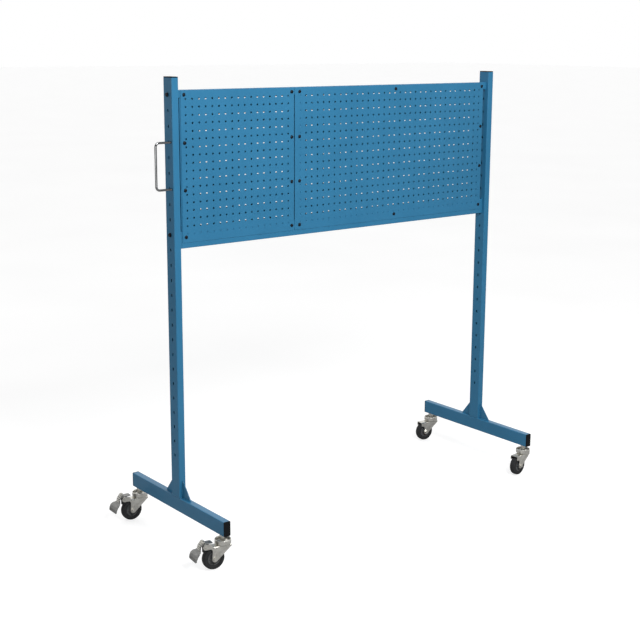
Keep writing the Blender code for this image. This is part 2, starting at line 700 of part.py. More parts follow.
def build_brake(name, fork_frame, lever_frame, steel, zinc, rubber):
    """A foot brake: a pivot pin in the fork's ears, the pressed lever and its shoe."""
    face = FORK_HALF_GAP + FORK_PLATE + FIT_GAP
    tip = face + BRAKE_PIN_HEAD_HEIGHT
    head = [(0, -tip), (BRAKE_PIN_HEAD_RADIUS, -tip), (BRAKE_PIN_HEAD_RADIUS, -face)]
    pin = mirrored_ring(head + [(BRAKE_PIN_RADIUS, -face)])
    mesh = bmesh.new()
    add_turned(mesh, pin, 8, "Y")
    place = (BRAKE_PIN[0], 0, BRAKE_PIN[1])
    make_object(name + "_brake_pin", mesh, steel, fork_frame, place)

    back = (-BRAKE_PIN[0], 0, -BRAKE_PIN[1])
    mesh = bmesh.new()
    add_plate_sweep(mesh, PEDAL_PATH, PEDAL_HALF_WIDTHS, PEDAL_THICKNESS)
    lever = make_object(name + "_brake_pedal", mesh, zinc, lever_frame, back)
    cheeks = bmesh.new()
    top = PEDAL_PATH[0][1]
    cheek = rectangle((CHEEK_FRONT_X, CHEEK_LOW_Z), (CHEEK_REAR_X, top))
    for low, high in ((-CHEEK_OUTER, -CHEEK_INNER), (CHEEK_INNER, CHEEK_OUTER)):
        add_prism(cheeks, cheek, low, high, "Y")
    combine(lever, cheeks, "UNION")
    hole = bmesh.new()
    bore = circle(BRAKE_PIN_RADIUS + FIT_GAP, 8, BRAKE_PIN)
    add_prism(hole, bore, -2 * CHEEK_OUTER, 2 * CHEEK_OUTER, "Y")
    combine(lever, hole)

    axle = (TRAIL, WHEEL_RADIUS)
    tread = circle(WHEEL_RADIUS + SHOE_GAP, 5, axle, SHOE_START, SHOE_TURN)
    face = [turned_about(point, BRAKE_PIN, BRAKE_TRAVEL) for point in tread]
    seat = top - PEDAL_THICKNESS / 2 - FIT_GAP
    outline = face + [(face[-1][0], seat), (face[0][0], seat)]
    mesh = bmesh.new()
    half = CHEEK_INNER - FIT_GAP
    add_prism(mesh, outline, -half, half, "Y")
    shoe = make_object(name + "_brake_shoe", mesh, rubber, lever_frame, back)
    hole = bmesh.new()
    add_prism(hole, bore, -2 * CHEEK_OUTER, 2 * CHEEK_OUTER, "Y")
    combine(shoe, hole)


def build_castor(stand, name, sign, facing, trail_degrees, braked, paint):
    """One swivel castor, with an empty on each of its joint axes."""
    place = (sign * UPRIGHT_X, facing * STEM_Y, 0)
    fixed = make_empty(name + "_castor_mount", stand, place)
    build_stem(name, fixed, paint["zinc"])
    swivel = make_empty(name + "_swivel_axis", stand, place, math.radians(trail_degrees))
    build_ball_race(name, swivel, paint["steel"])
    build_fork(name, braked, swivel, paint["zinc"])
    build_axle(name, swivel, paint["steel"])
    wheel = make_empty(name + "_wheel_axis", swivel, (TRAIL, 0, WHEEL_RADIUS))
    build_wheel(name, wheel, paint["grey"], paint["rubber"])
    if braked:
        lever = make_empty(name + "_brake_axis", swivel, (BRAKE_PIN[0], 0, BRAKE_PIN[1]))
        build_brake(name, swivel, lever, paint["steel"], paint["zinc"], paint["rubber"])


# ---------------------------------------------------------------- the stand
def make_materials():
    return {
        "blue": make_material("blue_powder_coat", (63, 132, 176), 0.42, 0.0),
        "plastic": make_material("black_plastic", (22, 23, 25), 0.50, 0.0),
        "chrome": make_material("chrome", (214, 214, 212), 0.12, 1.0),
        "zinc": make_material("zinc_plate", (190, 188, 178), 0.35, 1.0),
        "steel": make_material("dark_steel", (92, 94, 96), 0.40, 1.0),
        "grey": make_material("grey_nylon", (150, 150, 148), 0.45, 0.0),
        "rubber": make_material("grey_rubber", (62, 62, 64), 0.80, 0.0),
    }


def build_side(stand, side, sign, paint):
    """One upright with its cap, and its foot with the gussets and end plugs."""
    build_upright(side, sign, stand, paint["blue"])
    build_upright_cap(side, sign, stand, paint["plastic"])
    build_foot(side, sign, stand, paint["blue"])
    for end, facing in (("front", -1), ("rear", 1)):
        build_foot_plug(side, sign, end, facing, stand, paint["plastic"])
        build_gusset(side, sign, end, facing, stand, paint["blue"])


def build_board(stand, paint):
    """The frame between the uprights, and the sheets on its front and back."""
    blue = paint["blue"]
    top_low = FRAME_TOP_Z - TOP_RAIL_HEIGHT
    bottom_high = FRAME_BOTTOM_Z + BOTTOM_RAIL_HEIGHT
    inset = TUBE_WALL / 2
    bolts = [SLOT_HEIGHTS[k] for k in FRAME_BOLT_SLOTS]
    plate = (top_low - END_PLATE_MARGIN, FRAME_TOP_Z - inset)
    build_rail("top_rail", top_low, FRAME_TOP_Z, plate, bolts[0], stand, blue)
    plate = (FRAME_BOTTOM_Z + inset, bottom_high + END_PLATE_MARGIN)
    build_rail("bottom_rail", FRAME_BOTTOM_Z, bottom_high, plate, bolts[1], stand, blue)
    names = ("left_end_post", "left_centre_post", "right_centre_post", "right_end_post")
    for name, x, screw_x in zip(names, POST_PLACES, SCREW_COLUMNS):
        build_post(name, x, screw_x, stand, blue)
    for layer, facing in (("front", -1), ("rear", 1)):
        left_span = (SHEET_LEFT_X, SEAM_X - SEAM_GAP / 2)
        right_span = (SEAM_X + SEAM_GAP / 2, SHEET_RIGHT_X)
        build_sheet(layer + "_left_sheet", facing, *left_span, stand, blue)
        build_sheet(layer + "_right_sheet", facing, *right_span, stand, blue)
    for side, sign in (("left", -1), ("right", 1)):
        for level, z in zip(("upper", "lower"), bolts):
            build_frame_bolt(f"{side}_{level}_frame_bolt", sign, z, stand, paint["steel"])


def centre_on_footprint(stand):
    """Move the stand so that the middle of its plan is at the origin."""
    bpy.context.view_layer.update()
    graph = bpy.context.evaluated_depsgraph_get()
    points = []
    for piece in bpy.context.scene.objects:
        if piece.type == "MESH" and not piece.hide_render:
            shape = piece.evaluated_get(graph)
            points += [shape.matrix_world @ vertex.co for vertex in shape.data.vertices]
    for k in (0, 1):
        reach = [point[k] for point in points]
        stand.location[k] = -(min(reach) + max(reach)) / 2
    bpy.context.view_layer.update()


def main():
    for old in list(bpy.data.objects):
        bpy.data.objects.remove(old)
    paint = make_materials()
    stand = make_empty("pegboard_stand", None)
    for side, sign in (("left", -1), ("right", 1)):
        build_side(stand, side, sign, paint)
    build_board(stand, paint)
    build_handle(stand, paint["chrome"])
    for castor in CASTORS:
        build_castor(stand, *castor, paint)
    centre_on_footprint(stand)


main()
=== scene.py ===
"""Looks of the pegboard display stand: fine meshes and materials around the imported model.

Lengths are in metres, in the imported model's frame: +Z up, -Y the front of the board, and the
push handle at the -X end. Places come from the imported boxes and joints, so that every piece
fits the solid it stands for.
"""
import json
import math

import bmesh
import bpy
from mathutils import Matrix, Vector
from mathutils.geometry import delaunay_2d_cdt


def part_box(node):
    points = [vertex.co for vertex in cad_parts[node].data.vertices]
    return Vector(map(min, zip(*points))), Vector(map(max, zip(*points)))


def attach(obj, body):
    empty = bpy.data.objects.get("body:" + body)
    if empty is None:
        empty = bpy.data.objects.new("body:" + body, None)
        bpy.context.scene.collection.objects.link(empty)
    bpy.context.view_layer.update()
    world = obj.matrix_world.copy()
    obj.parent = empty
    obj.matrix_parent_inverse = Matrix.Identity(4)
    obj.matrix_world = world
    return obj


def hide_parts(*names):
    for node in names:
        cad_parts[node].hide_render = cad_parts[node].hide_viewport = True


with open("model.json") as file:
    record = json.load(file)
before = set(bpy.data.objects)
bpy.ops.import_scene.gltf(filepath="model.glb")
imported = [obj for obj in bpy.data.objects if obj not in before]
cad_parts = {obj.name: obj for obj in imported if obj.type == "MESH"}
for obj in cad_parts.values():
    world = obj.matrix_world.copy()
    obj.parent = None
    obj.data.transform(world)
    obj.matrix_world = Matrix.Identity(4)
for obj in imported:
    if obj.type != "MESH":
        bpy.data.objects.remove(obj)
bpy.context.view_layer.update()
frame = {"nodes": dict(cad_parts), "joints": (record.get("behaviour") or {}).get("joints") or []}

ROOT = "stand"
ENDS = {"front": -1, "rear": 1}

# ---- tubes and edges ----
TUBE_WALL = 0.0015
TUBE_CORNER = 0.003
RAIL_CORNER = 0.0015
RAIL_PLATE = 0.003
TOP_RAIL_HEIGHT = 0.025
BOTTOM_RAIL_HEIGHT = 0.055
CORNER_STEPS = 6
EDGE = 0.0003
SHARP_ANGLE = math.radians(50)

# ---- slots in the uprights ----
SLOT_COUNT = 25
SLOT_PITCH = 0.0495
SLOT_TOP_Z = 1.494
SLOT_WIDTH = 0.0065
SLOT_HEIGHT = 0.011
SLOTTED_WALLS = (1, 3)  # the two sides that face along X

# ---- the board; for each half, the first column's x from the middle, and how many columns ----
PEG_PITCH = 0.0254
PEG_RADIUS = 0.0032
PEG_EDGE = 0.00035
PEG_ROWS = 18
PEG_TOP_Z = 1.4798
PEG_COLUMNS = {"left": (-0.6646, 17), "right": (-0.2069, 35)}
SLIT_SIZE = (0.034, 0.0032)
SLIT_PITCH = (0.0762, 0.0508)
SLIT_ROWS = 9
SLIT_TOP_Z = PEG_TOP_Z - 0.003
SLIT_COLUMNS = {"left": (-0.5808, 5), "right": (-0.143, 11)}
SCREW_TOP_Z = 1.4928
SCREW_ROW_PITCH = 0.1517
SCREW_COLUMNS = {"left": (-0.6702, -0.2432), "right": (-0.2096, 0.6701)}
MIDDLE_SCREW_X = 0.2287
SCREW_HEAD_RADIUS = 0.006
SCREW_HEAD_HEIGHT = 0.0029
SCREW_RIM = 0.0006
SCREW_TURN = math.radians(17)

# ---- studio ----
FLOOR_GREYS = (0.42, 0.46)
FLOOR_GLOW = 0.7
BACKDROP_DIRECTION = (0.63, 0.78, 0.0)
BACKDROP_LIGHT = 1.0
ROOM_LIGHT = 0.16
KEY_POWER = 92
SIDE_POWER = 30
CAMERA_PLACE = (-2.7406, -3.3082, 1.6707)
CAMERA_LENS = 68.145
CAMERA_SHIFT = (-0.0136, -0.0502)
CAMERA_YAW = math.radians(38.95)
CAMERA_PITCH = math.radians(-11.65)
CAMERA_ROLL = 0.006205

# ---- castors, in each swivel's own frame: +X trails, Y is the axle ----
WHEEL_RADIUS = 0.0375
RIM_RADIUS = 0.0225
AXLE_RADIUS = 0.004
FORK_HALF_WIDTH = 0.0165
FORK_PLATE = 0.0025
FORK_TOP_Z = 0.079
FORK_BEND = 0.0045
FORK_NOSE = (-0.024, 0.073)
FORK_BOSS_RADIUS = 0.01
HEAD_RADIUS = 0.027
HEAD_RIM_Z = 0.096
RACE_RADIUS = 0.0185
BALL_RADIUS = 0.003
BALL_COUNT = 8
TRAIL = 0.035
BRAKE_PIN = (0.067, 0.084)
PIN_HOLE_RADIUS = 0.0028
BRAKE_ARM_RADIUS = 0.0092
FORK_REAR_X = 0.058
LEVER_Z = 0.0935
ADJUSTER_X = 0.0735
LEVER_PLATE = 0.0025
CHEEK_INNER = 0.01
CHEEK_OUTER = 0.012


# ---- outlines ----
def circle(radius, sides, centre=(0.0, 0.0), start=0.0, turn=2 * math.pi):
    """Points on a circle, or on part of one when turn is less than a full turn."""
    steps = sides if abs(turn) >= 2 * math.pi - 1e-9 else sides - 1
    angles = [start + turn * k / steps for k in range(sides)]
    return [(centre[0] + radius * math.cos(a), centre[1] + radius * math.sin(a)) for a in angles]


def rectangle(left, bottom, right, top):
    return [(left, bottom), (right, bottom), (right, top), (left, top)]


def fillet(points, radius, steps=5, closed=True):
    """The outline with its corners rounded, each arc no longer than its sides allow."""
    result = []
    count = len(points)
    for k, point in enumerate(points):
        here = Vector(point)
        back = Vector(points[k - 1]) - here
        ahead = Vector(points[(k + 1) % count]) - here
        if (not closed and k in (0, count - 1)) or back.angle(ahead) > math.radians(174):
            result.append(tuple(here))
            continue
        half = back.angle(ahead) / 2
        reach = min(radius / math.tan(half), 0.48 * back.length, 0.48 * ahead.length)
        arc = reach * math.tan(half)
        centre = here + (back.normalized() + ahead.normalized()).normalized() * arc / math.sin(half)
        first = here + back.normalized() * reach - centre
        turn = -first.angle_signed(here + ahead.normalized() * reach - centre)
        start = math.atan2(first.y, first.x)
        result += circle(arc, steps + 1, centre, start, turn)
    return result


def slot_outline(width, height, centre):
    """A slot with round ends, its length along the second coordinate."""
    radius, rise = width / 2, (height - width) / 2
    top = circle(radius, 9, (centre[0], centre[1] + rise), 0.0, math.pi)
    bottom = circle(radius, 9, (centre[0], centre[1] - rise), math.pi, math.pi)
    return top + bottom


def mirrored(half):
    """Half an outline and its mirror image, with the second coordinate reversed."""
    return half + [(a, -b) for a, b in reversed(half)]


def area(loop):
    """A loop's area, negative when it runs clockwise."""
    following = loop[1:] + loop[:1]
    return sum(a[0] * b[1] - b[0] * a[1] for a, b in zip(loop, following)) / 2


def inset(loop, distance):
    """The loop moved inwards by a distance, or outwards by a negative one."""
    sign = math.copysign(1.0, area(loop))
    moved = []
    for k, point in enumerate(loop):
        before = (Vector(point) - Vector(loop[k - 1])).normalized()
        after = (Vector(loop[(k + 1) % len(loop)]) - Vector(point)).normalized()
        normal = Vector((-before.y - after.y, before.x + after.x)).normalized() * sign
        stretch = max(normal.dot(Vector((-before.y, before.x)) * sign), 0.5)
        moved.append(tuple(Vector(point) + normal * distance / stretch))
    return moved


def cut_at(loop, rulings):
    """The loop with a point added wherever a side crosses one of the rulings."""
    result = []
    for k, point in enumerate(loop):
        other = loop[(k + 1) % len(loop)]
        result.append(tuple(point))
        span = other[0] - point[0]
        if abs(span) < 1e-9:
            continue
        for t in sorted((s - point[0]) / span for s in rulings):
            if 1e-4 < t < 1 - 1e-4:
                result.append((point[0] + span * t, point[1] + (other[1] - point[1]) * t))
    return result


def contains(loop, x, y):
    """Whether a point is inside a loop, by the sides that a level ray crosses."""
    inside = False
    for k, (ax, ay) in enumerate(loop):
        bx, by = loop[k - 1]
        if (ay > y) != (by > y) and x < (bx - ax) * (y - ay) / (by - ay) + ax:
            inside = not inside
    return inside


# ---- meshes ----
def lift(axis, a, b, height):
    """The 3-D point at (a, b) across an axis and at a height along it."""
    return Vector({"X": (height, a, b), "Y": (a, height, b), "Z": (a, b, height)}[axis])


def ring_faces(mesh, first, second):
    """Faces between two closed loops of the same length, or a loop and a single point."""
    count = max(len(first), len(second))
    for k in range(count):
        n = (k + 1) % count
        corners = [first[k % len(first)], first[n % len(first)]]
        corners += [second[n % len(second)], second[k % len(second)]]
        mesh.faces.new(list(dict.fromkeys(corners)))


def loft(mesh, loops, caps=True, ring=False):
    """A skin through loops of 3-D points, with its ends filled or its last loop joined to the first."""
    made = [[mesh.verts.new(point) for point in loop] for loop in loops]
    for first, second in zip(made, made[1:]):
        ring_faces(mesh, first, second)
    if ring:
        ring_faces(mesh, made[-1], made[0])
    elif caps:
        for end in (made[0], made[-1]):
            if len(end) > 2:
                mesh.faces.new(end)


def turned(mesh, profile, sides, axis="Z", centre=(0, 0, 0), ring=False):
    """A profile of (radius, height) points turned about an axis through a centre."""
    loops = []
    for radius, height in profile:
        outline = circle(radius, sides) if radius > 1e-7 else [(0.0, 0.0)]
        loops.append([lift(axis, a, b, height) + Vector(centre) for a, b in outline])
    loft(mesh, loops, caps=False, ring=ring)


def stacked(mesh, steps, axis, centre=(0, 0, 0)):
    """A solid through outlines at heights along an axis, closed at both ends."""
    offset = Vector(centre)
    loft(mesh, [[lift(axis, a, b, height) + offset for a, b in outline] for outline, height in steps])


def rod(mesh, path, radius, sides):
    """A round bar along a path of 3-D points in a plane of constant Y."""
    points = [Vector(p) for p in path]
    loops = []
    side = Vector((0, 1, 0))
    for k, point in enumerate(points):
        along = (points[min(k + 1, len(points) - 1)] - points[max(k - 1, 0)]).normalized()
        across = along.cross(side)
        loops.append([point + across * a + side * b for a, b in circle(radius, sides)])
    loft(mesh, loops)


def hexagon(apothem, sides):
    """Points round a hexagon, evenly spread by angle."""
    loop = []
    for k in range(sides):
        angle = 2 * math.pi * k / sides
        reach = apothem / math.cos((angle + math.pi / 6) % (math.pi / 3) - math.pi / 6)
        loop.append((reach * math.cos(angle), reach * math.sin(angle)))
    return loop


def hexagon_head(mesh, apothem, low, high, axis, centre=(0, 0, 0)):
    """A hexagon bolt head or nut whose corners are turned off at both ends."""
    crown, sides = 0.96 * apothem, 36
    slope = math.copysign(math.tan(math.radians(30)), high - low)
    top, flats = circle(crown, sides), hexagon(apothem, sides)
    loops = []
    layers = [(low, slope, top), (low, slope, flats), (high, -slope, flats), (high, -slope, top)]
    for height, rise, outline in layers:
        heights = [height + rise * (math.hypot(a, b) - crown) for a, b in outline]
        loops.append([lift(axis, a, b, c) + Vector(centre) for (a, b), c in zip(outline, heights)])
    loft(mesh, loops)


def bend_profile(points, normals):
    """A place function for sheet wrapped round a profile, and the distance to each of its points.

    The function takes a distance along the profile, a distance across it and a depth under
    the outer surface. It returns the profile's two coordinates and the distance across.
    """
    reached = [0.0]
    for a, b in zip(points, points[1:]):
        reached.append(reached[-1] + (Vector(b) - Vector(a)).length)

    def place(s, across, depth):
        k = 0
        while k < len(points) - 2 and s > reached[k + 1]:
            k += 1
        t = (s - reached[k]) / (reached[k + 1] - reached[k])
        point = Vector(points[k]).lerp(Vector(points[k + 1]), t)
        normal = Vector(normals[k]).lerp(Vector(normals[k + 1]), min(max(t, 0.0), 1.0)).normalized()
        return (*(point - normal * depth), across)

    return place, reached


def fill(mesh, loops, rulings, place, depths):
    """Triangles inside the first loop and outside the rest, cut along the rulings, at each depth."""
    points, edges = [], []
    for loop in loops:
        base = len(points)
        points += [Vector(p) for p in loop]
        edges += [(base + k, base + (k + 1) % len(loop)) for k in range(len(loop))]
    low = min(p[1] for p in loops[0])
    high = max(p[1] for p in loops[0])
    for s in rulings:
        edges.append((len(points), len(points) + 1))
        points += [Vector((s, low)), Vector((s, high))]
    verts, _, faces, _, _, _ = delaunay_2d_cdt(points, edges, [], 0, 1e-8)
    boxes = []
    for loop in loops[1:]:
        xs, ys = [p[0] for p in loop], [p[1] for p in loop]
        boxes.append((min(xs), max(xs), min(ys), max(ys), loop))
    made = {}
    for face in faces:
        x = sum(verts[v].x for v in face) / 3
        y = sum(verts[v].y for v in face) / 3
        if not contains(loops[0], x, y):
            continue
        if any(a < x < b and c < y < d and contains(loop, x, y) for a, b, c, d, loop in boxes):
            continue
        for depth in depths:
            corners = []
            for v in face:
                if (v, depth) not in made:
                    made[v, depth] = mesh.verts.new(place(*verts[v], depth))
                corners.append(made[v, depth])
            mesh.faces.new(corners)


def soft_rim(mesh, wall, face, place, thickness, edge=EDGE):
    """The thickness of a sheet along one of its edges, with both corners softened."""
    rings = ((face, 0.0), (wall, edge), (wall, thickness - edge), (face, thickness))
    loft(mesh, [[place(s, a, depth) for s, a in loop] for loop, depth in rings], caps=False)


def pressed(mesh, outline, holes, place, thickness, rulings=(), edge=EDGE):
    """A sheet with holes, wrapped by a place function, its edges softened on both sides."""
    rims = [(cut_at(outline, rulings), cut_at(inset(outline, edge), rulings))]
    rims += [(cut_at(hole, rulings), cut_at(inset(hole, -edge), rulings)) for hole in holes]
    fill(mesh, [face for _, face in rims], rulings, place, (0.0, thickness))
    for wall, face in rims:
        soft_rim(mesh, wall, face, place, thickness, edge)


def flat_plate(mesh, outline, holes, axis, low, high, edge=EDGE):
    """A flat plate across an axis, between two heights."""
    step = math.copysign(1.0, high - low)
    pressed(mesh, outline, holes, lambda a, b, depth: lift(axis, a, b, low + step * depth),
            abs(high - low), edge=edge)


def tube_profile(width, depth, corner):
    """A rounded rectangle from the middle of its -second side, with its outward normals."""
    points, normals = [(0.0, -depth / 2)], [(0.0, -1.0)]
    quarter = math.pi / 2
    for k, (sx, sy) in enumerate(((1, -1), (1, 1), (-1, 1), (-1, -1))):
        centre = (sx * (width / 2 - corner), sy * (depth / 2 - corner))
        start = (k - 1) * quarter
        points += circle(corner, CORNER_STEPS + 1, centre, start, quarter)
        normals += circle(1.0, CORNER_STEPS + 1, (0.0, 0.0), start, quarter)
    return points + points[:1], normals + normals[:1]


def square_tube(mesh, width, depth, corner, axis, low, high, centre, slots=()):
    """A rounded rectangular tube, with slots at the given heights through its slotted walls."""
    place_flat, reached = bend_profile(*tube_profile(width, depth, corner))

    def place(s, along, under):
        a, b, height = place_flat(s, along, under)
        return lift(axis, a, b, height) + Vector(centre)

    around = reached[:-1]
    inner_low, inner_high = low + EDGE, high - EDGE
    face = cut_at(rectangle(0, inner_low, reached[-1], inner_high), reached)
    rims = [([(s, end) for s in around], [(s, inner) for s in around])
            for end, inner in ((low, inner_low), (high, inner_high))]
    for z in slots:
        for wall in SLOTTED_WALLS:
            corner_end = wall * (CORNER_STEPS + 1)
            middle = (reached[corner_end] + reached[corner_end + 1]) / 2
            slot = slot_outline(SLOT_WIDTH, SLOT_HEIGHT, (middle, z))
            rims.append((slot, inset(slot, -EDGE)))
    fill(mesh, [face] + [wide for _, wide in rims[2:]], reached[1:-1], place, (0.0, TUBE_WALL))
    for wall, wide in rims:
        soft_rim(mesh, wall, wide, place, TUBE_WALL)


# ---- pieces ----
def placed(name, data):
    """A new object in the scene."""
    thing = bpy.data.objects.new(name, data)
    bpy.context.scene.collection.objects.link(thing)
    return thing


def add_piece(name, mesh, material, body=ROOT, replaces=(), place=None):
    """Turn a bmesh into a shaded piece that rides on a body."""
    bmesh.ops.remove_doubles(mesh, verts=mesh.verts, dist=2e-6)
    bmesh.ops.recalc_face_normals(mesh, faces=mesh.faces)
    data = bpy.data.meshes.new(name)
    mesh.to_mesh(data)
    mesh.free()
    data.shade_smooth()
    data.set_sharp_from_angle(angle=SHARP_ANGLE)
    data.materials.append(material)
    piece = placed(name, data)
    if place is not None:
        piece.matrix_world = place
    weighted = piece.modifiers.new("weighted_normals", "WEIGHTED_NORMAL")
    weighted.keep_sharp = True
    weighted.weight = 100
    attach(piece, body)
    if replaces:
        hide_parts(*replaces)


def measured(node):
    """A node's lowest and highest corners, and its middle."""
    low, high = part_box(node)
    return low, high, (low + high) / 2


UPRIGHTS = {side: measured(side + "_upright")[2] for side in ("left", "right")}
CENTRE = (UPRIGHTS["left"] + UPRIGHTS["right"]) / 2
SLOT_HEIGHTS = [SLOT_TOP_Z - SLOT_PITCH * k for k in range(SLOT_COUNT)]
SCREW_HEIGHTS = [SCREW_TOP_Z - SCREW_ROW_PITCH * k for k in range(4)]


# ---- materials ----
def screen_colour(*channels):
    """The linear colour of a screen colour whose channels run up to 255."""
    values = [channel / 255 for channel in channels]
    return tuple(v / 12.92 if v <= 0.04045 else ((v + 0.055) / 1.055) ** 2.4 for v in values)


def feed(tree, socket, value):
    """Link an input to another node's output, or give it a plain value."""
    if isinstance(value, bpy.types.NodeSocket):
        tree.links.new(value, socket)
    else:
        socket.default_value = value


def add_node(tree, kind, output, setting=None, **inputs):
    """Add a shader node, feed its inputs by name, and return one of its outputs."""
    node = tree.nodes.new("ShaderNode" + kind)
    if setting:
        setattr(node, *setting)
    for name, value in inputs.items():
        feed(tree, node.inputs[name.replace("_", " ")], value)
    return node.outputs[output]


class Surface:
    """A Principled material with helpers that wire procedural nodes to it."""

    def __init__(self, name, slot=None, **inputs):
        self.material = bpy.data.materials.new(name + "_look")
        self.material.use_nodes = True
        self.material["slot"] = slot or name
        self.tree = self.material.node_tree
        self.shader = self.tree.nodes["Principled BSDF"]
        for name, value in inputs.items():
            self.set(name.replace("_", " "), value)
        self.place = add_node(self.tree, "TexCoord", "Object")

    def set(self, socket, value):
        feed(self.tree, self.shader.inputs[socket], value)

    def noise(self, scale, detail, stretch=None):
        where = self.place
        if stretch:
            where = add_node(self.tree, "Mapping", "Vector", Scale=stretch, Vector=where)
        inputs = {"Scale": scale, "Detail": detail, "Roughness": 0.55, "Vector": where}
        return add_node(self.tree, "TexNoise", "Fac", **inputs)

    def cells(self, scale):
        return add_node(self.tree, "TexVoronoi", "Color", Scale=scale, Vector=self.place)

    def ramp(self, value, low, high, start=0.3, stop=0.7):
        """One colour below the start and another above the stop, blended between them."""
        node = self.tree.nodes.new("ShaderNodeValToRGB")
        stops = ((start, low), (stop, high))
        for element, (position, colour) in zip(node.color_ramp.elements, stops):
            element.position = position
            element.color = (*colour, 1)
        self.tree.links.new(value, node.inputs["Fac"])
        return node.outputs["Color"]

    def scaled(self, value, low, high):
        return add_node(self.tree, "MapRange", "Result", Value=value, To_Min=low, To_Max=high)

    def multiplied(self, first, second):
        node = self.tree.nodes.new("ShaderNodeMix")
        node.data_type = "RGBA"
        node.blend_type = "MULTIPLY"
        for number, value in ((0, 1.0), (6, first), (7, second)):
            feed(self.tree, node.inputs[number], value)
        return node.outputs[2]

    def cloud(self, scale, detail, low, high, start=0.3, stop=0.7):
        self.set("Base Color", self.ramp(self.noise(scale, detail), low, high, start, stop))

    def rough(self, scale, detail, low, high):
        self.set("Roughness", self.scaled(self.noise(scale, detail), low, high))

    def grain(self, scale, detail, strength, distance):
        """A bump from noise, on top of any bump that the shader already has."""
        inputs = {"Strength": strength, "Distance": distance, "Height": self.noise(scale, detail)}
        for link in self.shader.inputs["Normal"].links:
            inputs["Normal"] = link.from_socket
        self.set("Normal", add_node(self.tree, "Bump", "Normal", **inputs))


def blue_powder_coat():
    """Semi-gloss powder coat: a faint orange peel, cloudy colour and specks of dust."""
    paint = Surface("blue_powder_coat", Specular_IOR_Level=0.42)
    base = paint.ramp(paint.noise(5.0, 4.0), screen_colour(42, 112, 151), screen_colour(47, 118, 158))
    dust = paint.ramp(paint.noise(900.0, 2.0), (1, 1, 1), (1.12, 1.08, 1.05), 0.66, 0.74)
    paint.set("Base Color", paint.multiplied(base, dust))
    paint.rough(60.0, 4.0, 0.27, 0.38)
    paint.grain(420.0, 2.0, 0.1, 0.0004)
    paint.grain(55.0, 2.0, 0.06, 0.0015)
    return paint.material


def black_plastic():
    """Moulded black plastic with a fine spark-eroded grain."""
    plastic = Surface("black_plastic", Specular_IOR_Level=0.16)
    plastic.cloud(120.0, 3.0, (0.002, 0.003, 0.004), (0.006, 0.007, 0.009))
    plastic.rough(700.0, 2.0, 0.42, 0.6)
    plastic.grain(1800.0, 2.0, 0.25, 0.0002)
    return plastic.material


def chrome():
    """Bright chrome with faint polishing haze along the bar."""
    plate = Surface("chrome", Metallic=1.0)
    plate.cloud(40.0, 4.0, (0.27, 0.275, 0.28), (0.34, 0.345, 0.35))
    streaks = plate.noise(30.0, 3.0, stretch=(14, 14, 1))
    plate.set("Roughness", plate.scaled(streaks, 0.06, 0.17))
    plate.grain(260.0, 2.0, 0.04, 0.0003)
    return plate.material


def zinc_plate():
    """Bright zinc on pressed steel: warm grey, mottled, with fine press marks."""
    zinc = Surface("zinc_plate", Metallic=1.0)
    grains = zinc.ramp(zinc.cells(420.0), (0.9, 0.9, 0.9), (1.06, 1.06, 1.06), 0.0, 1.0)
    base = zinc.ramp(zinc.noise(90.0, 4.0), (0.6, 0.585, 0.54), (0.84, 0.825, 0.77), 0.28, 0.72)
    zinc.set("Base Color", zinc.multiplied(base, grains))
    zinc.rough(160.0, 4.0, 0.26, 0.44)
    zinc.grain(300.0, 3.0, 0.16, 0.0004)
    return zinc.material


def satin_zinc():
    """The brake levers' duller zinc, scuffed by shoes."""
    zinc = Surface("satin_zinc", "zinc_plate", Metallic=1.0)
    scuffs = zinc.noise(60.0, 5.0, stretch=(1.0, 1.0, 3.0))
    zinc.set("Base Color", zinc.ramp(scuffs, (0.2, 0.2, 0.195), (0.34, 0.34, 0.33), 0.3, 0.72))
    zinc.rough(180.0, 4.0, 0.34, 0.52)
    zinc.grain(320.0, 3.0, 0.14, 0.0004)
    return zinc.material


def dark_steel():
    """Dark passivated fasteners, a little blue, with brighter rubbed places."""
    steel = Surface("dark_steel", Metallic=1.0)
    steel.cloud(220.0, 4.0, (0.014, 0.018, 0.025), (0.06, 0.066, 0.078), 0.35, 0.75)
    steel.rough(350.0, 3.0, 0.3, 0.5)
    steel.grain(900.0, 2.0, 0.12, 0.0002)
    return steel.material


def black_oxide():
    """The black finish of the sheet screws."""
    oxide = Surface("black_oxide", "black_plastic", Metallic=0.2, Specular_IOR_Level=0.2)
    oxide.cloud(500.0, 3.0, (0.003, 0.007, 0.013), (0.008, 0.014, 0.024))
    oxide.rough(700.0, 2.0, 0.36, 0.55)
    oxide.grain(1500.0, 2.0, 0.15, 0.0002)
    return oxide.material


def grey_nylon():
    """The wheel's moulded grey core."""
    nylon = Surface("grey_nylon", Subsurface_Weight=0.04)
    nylon.cloud(80.0, 3.0, (0.06, 0.062, 0.065), (0.095, 0.098, 0.102))
    nylon.rough(400.0, 3.0, 0.38, 0.55)
    nylon.grain(900.0, 2.0, 0.1, 0.0002)
    return nylon.material


def grey_rubber():
    """Dark grey tyre rubber, dusty and finely pitted."""
    rubber = Surface("grey_rubber", Specular_IOR_Level=0.35)
    rubber.cloud(70.0, 5.0, (0.014, 0.0145, 0.016), (0.03, 0.031, 0.033), 0.35, 0.75)
    rubber.rough(300.0, 4.0, 0.62, 0.82)
    rubber.grain(1400.0, 3.0, 0.3, 0.0003)
    return rubber.material


BLUE = blue_powder_coat()
BLACK = black_plastic()
CHROME = chrome()
ZINC = zinc_plate()
SATIN = satin_zinc()
STEEL = dark_steel()
OXIDE = black_oxide()
NYLON = grey_nylon()
RUBBER = grey_rubber()


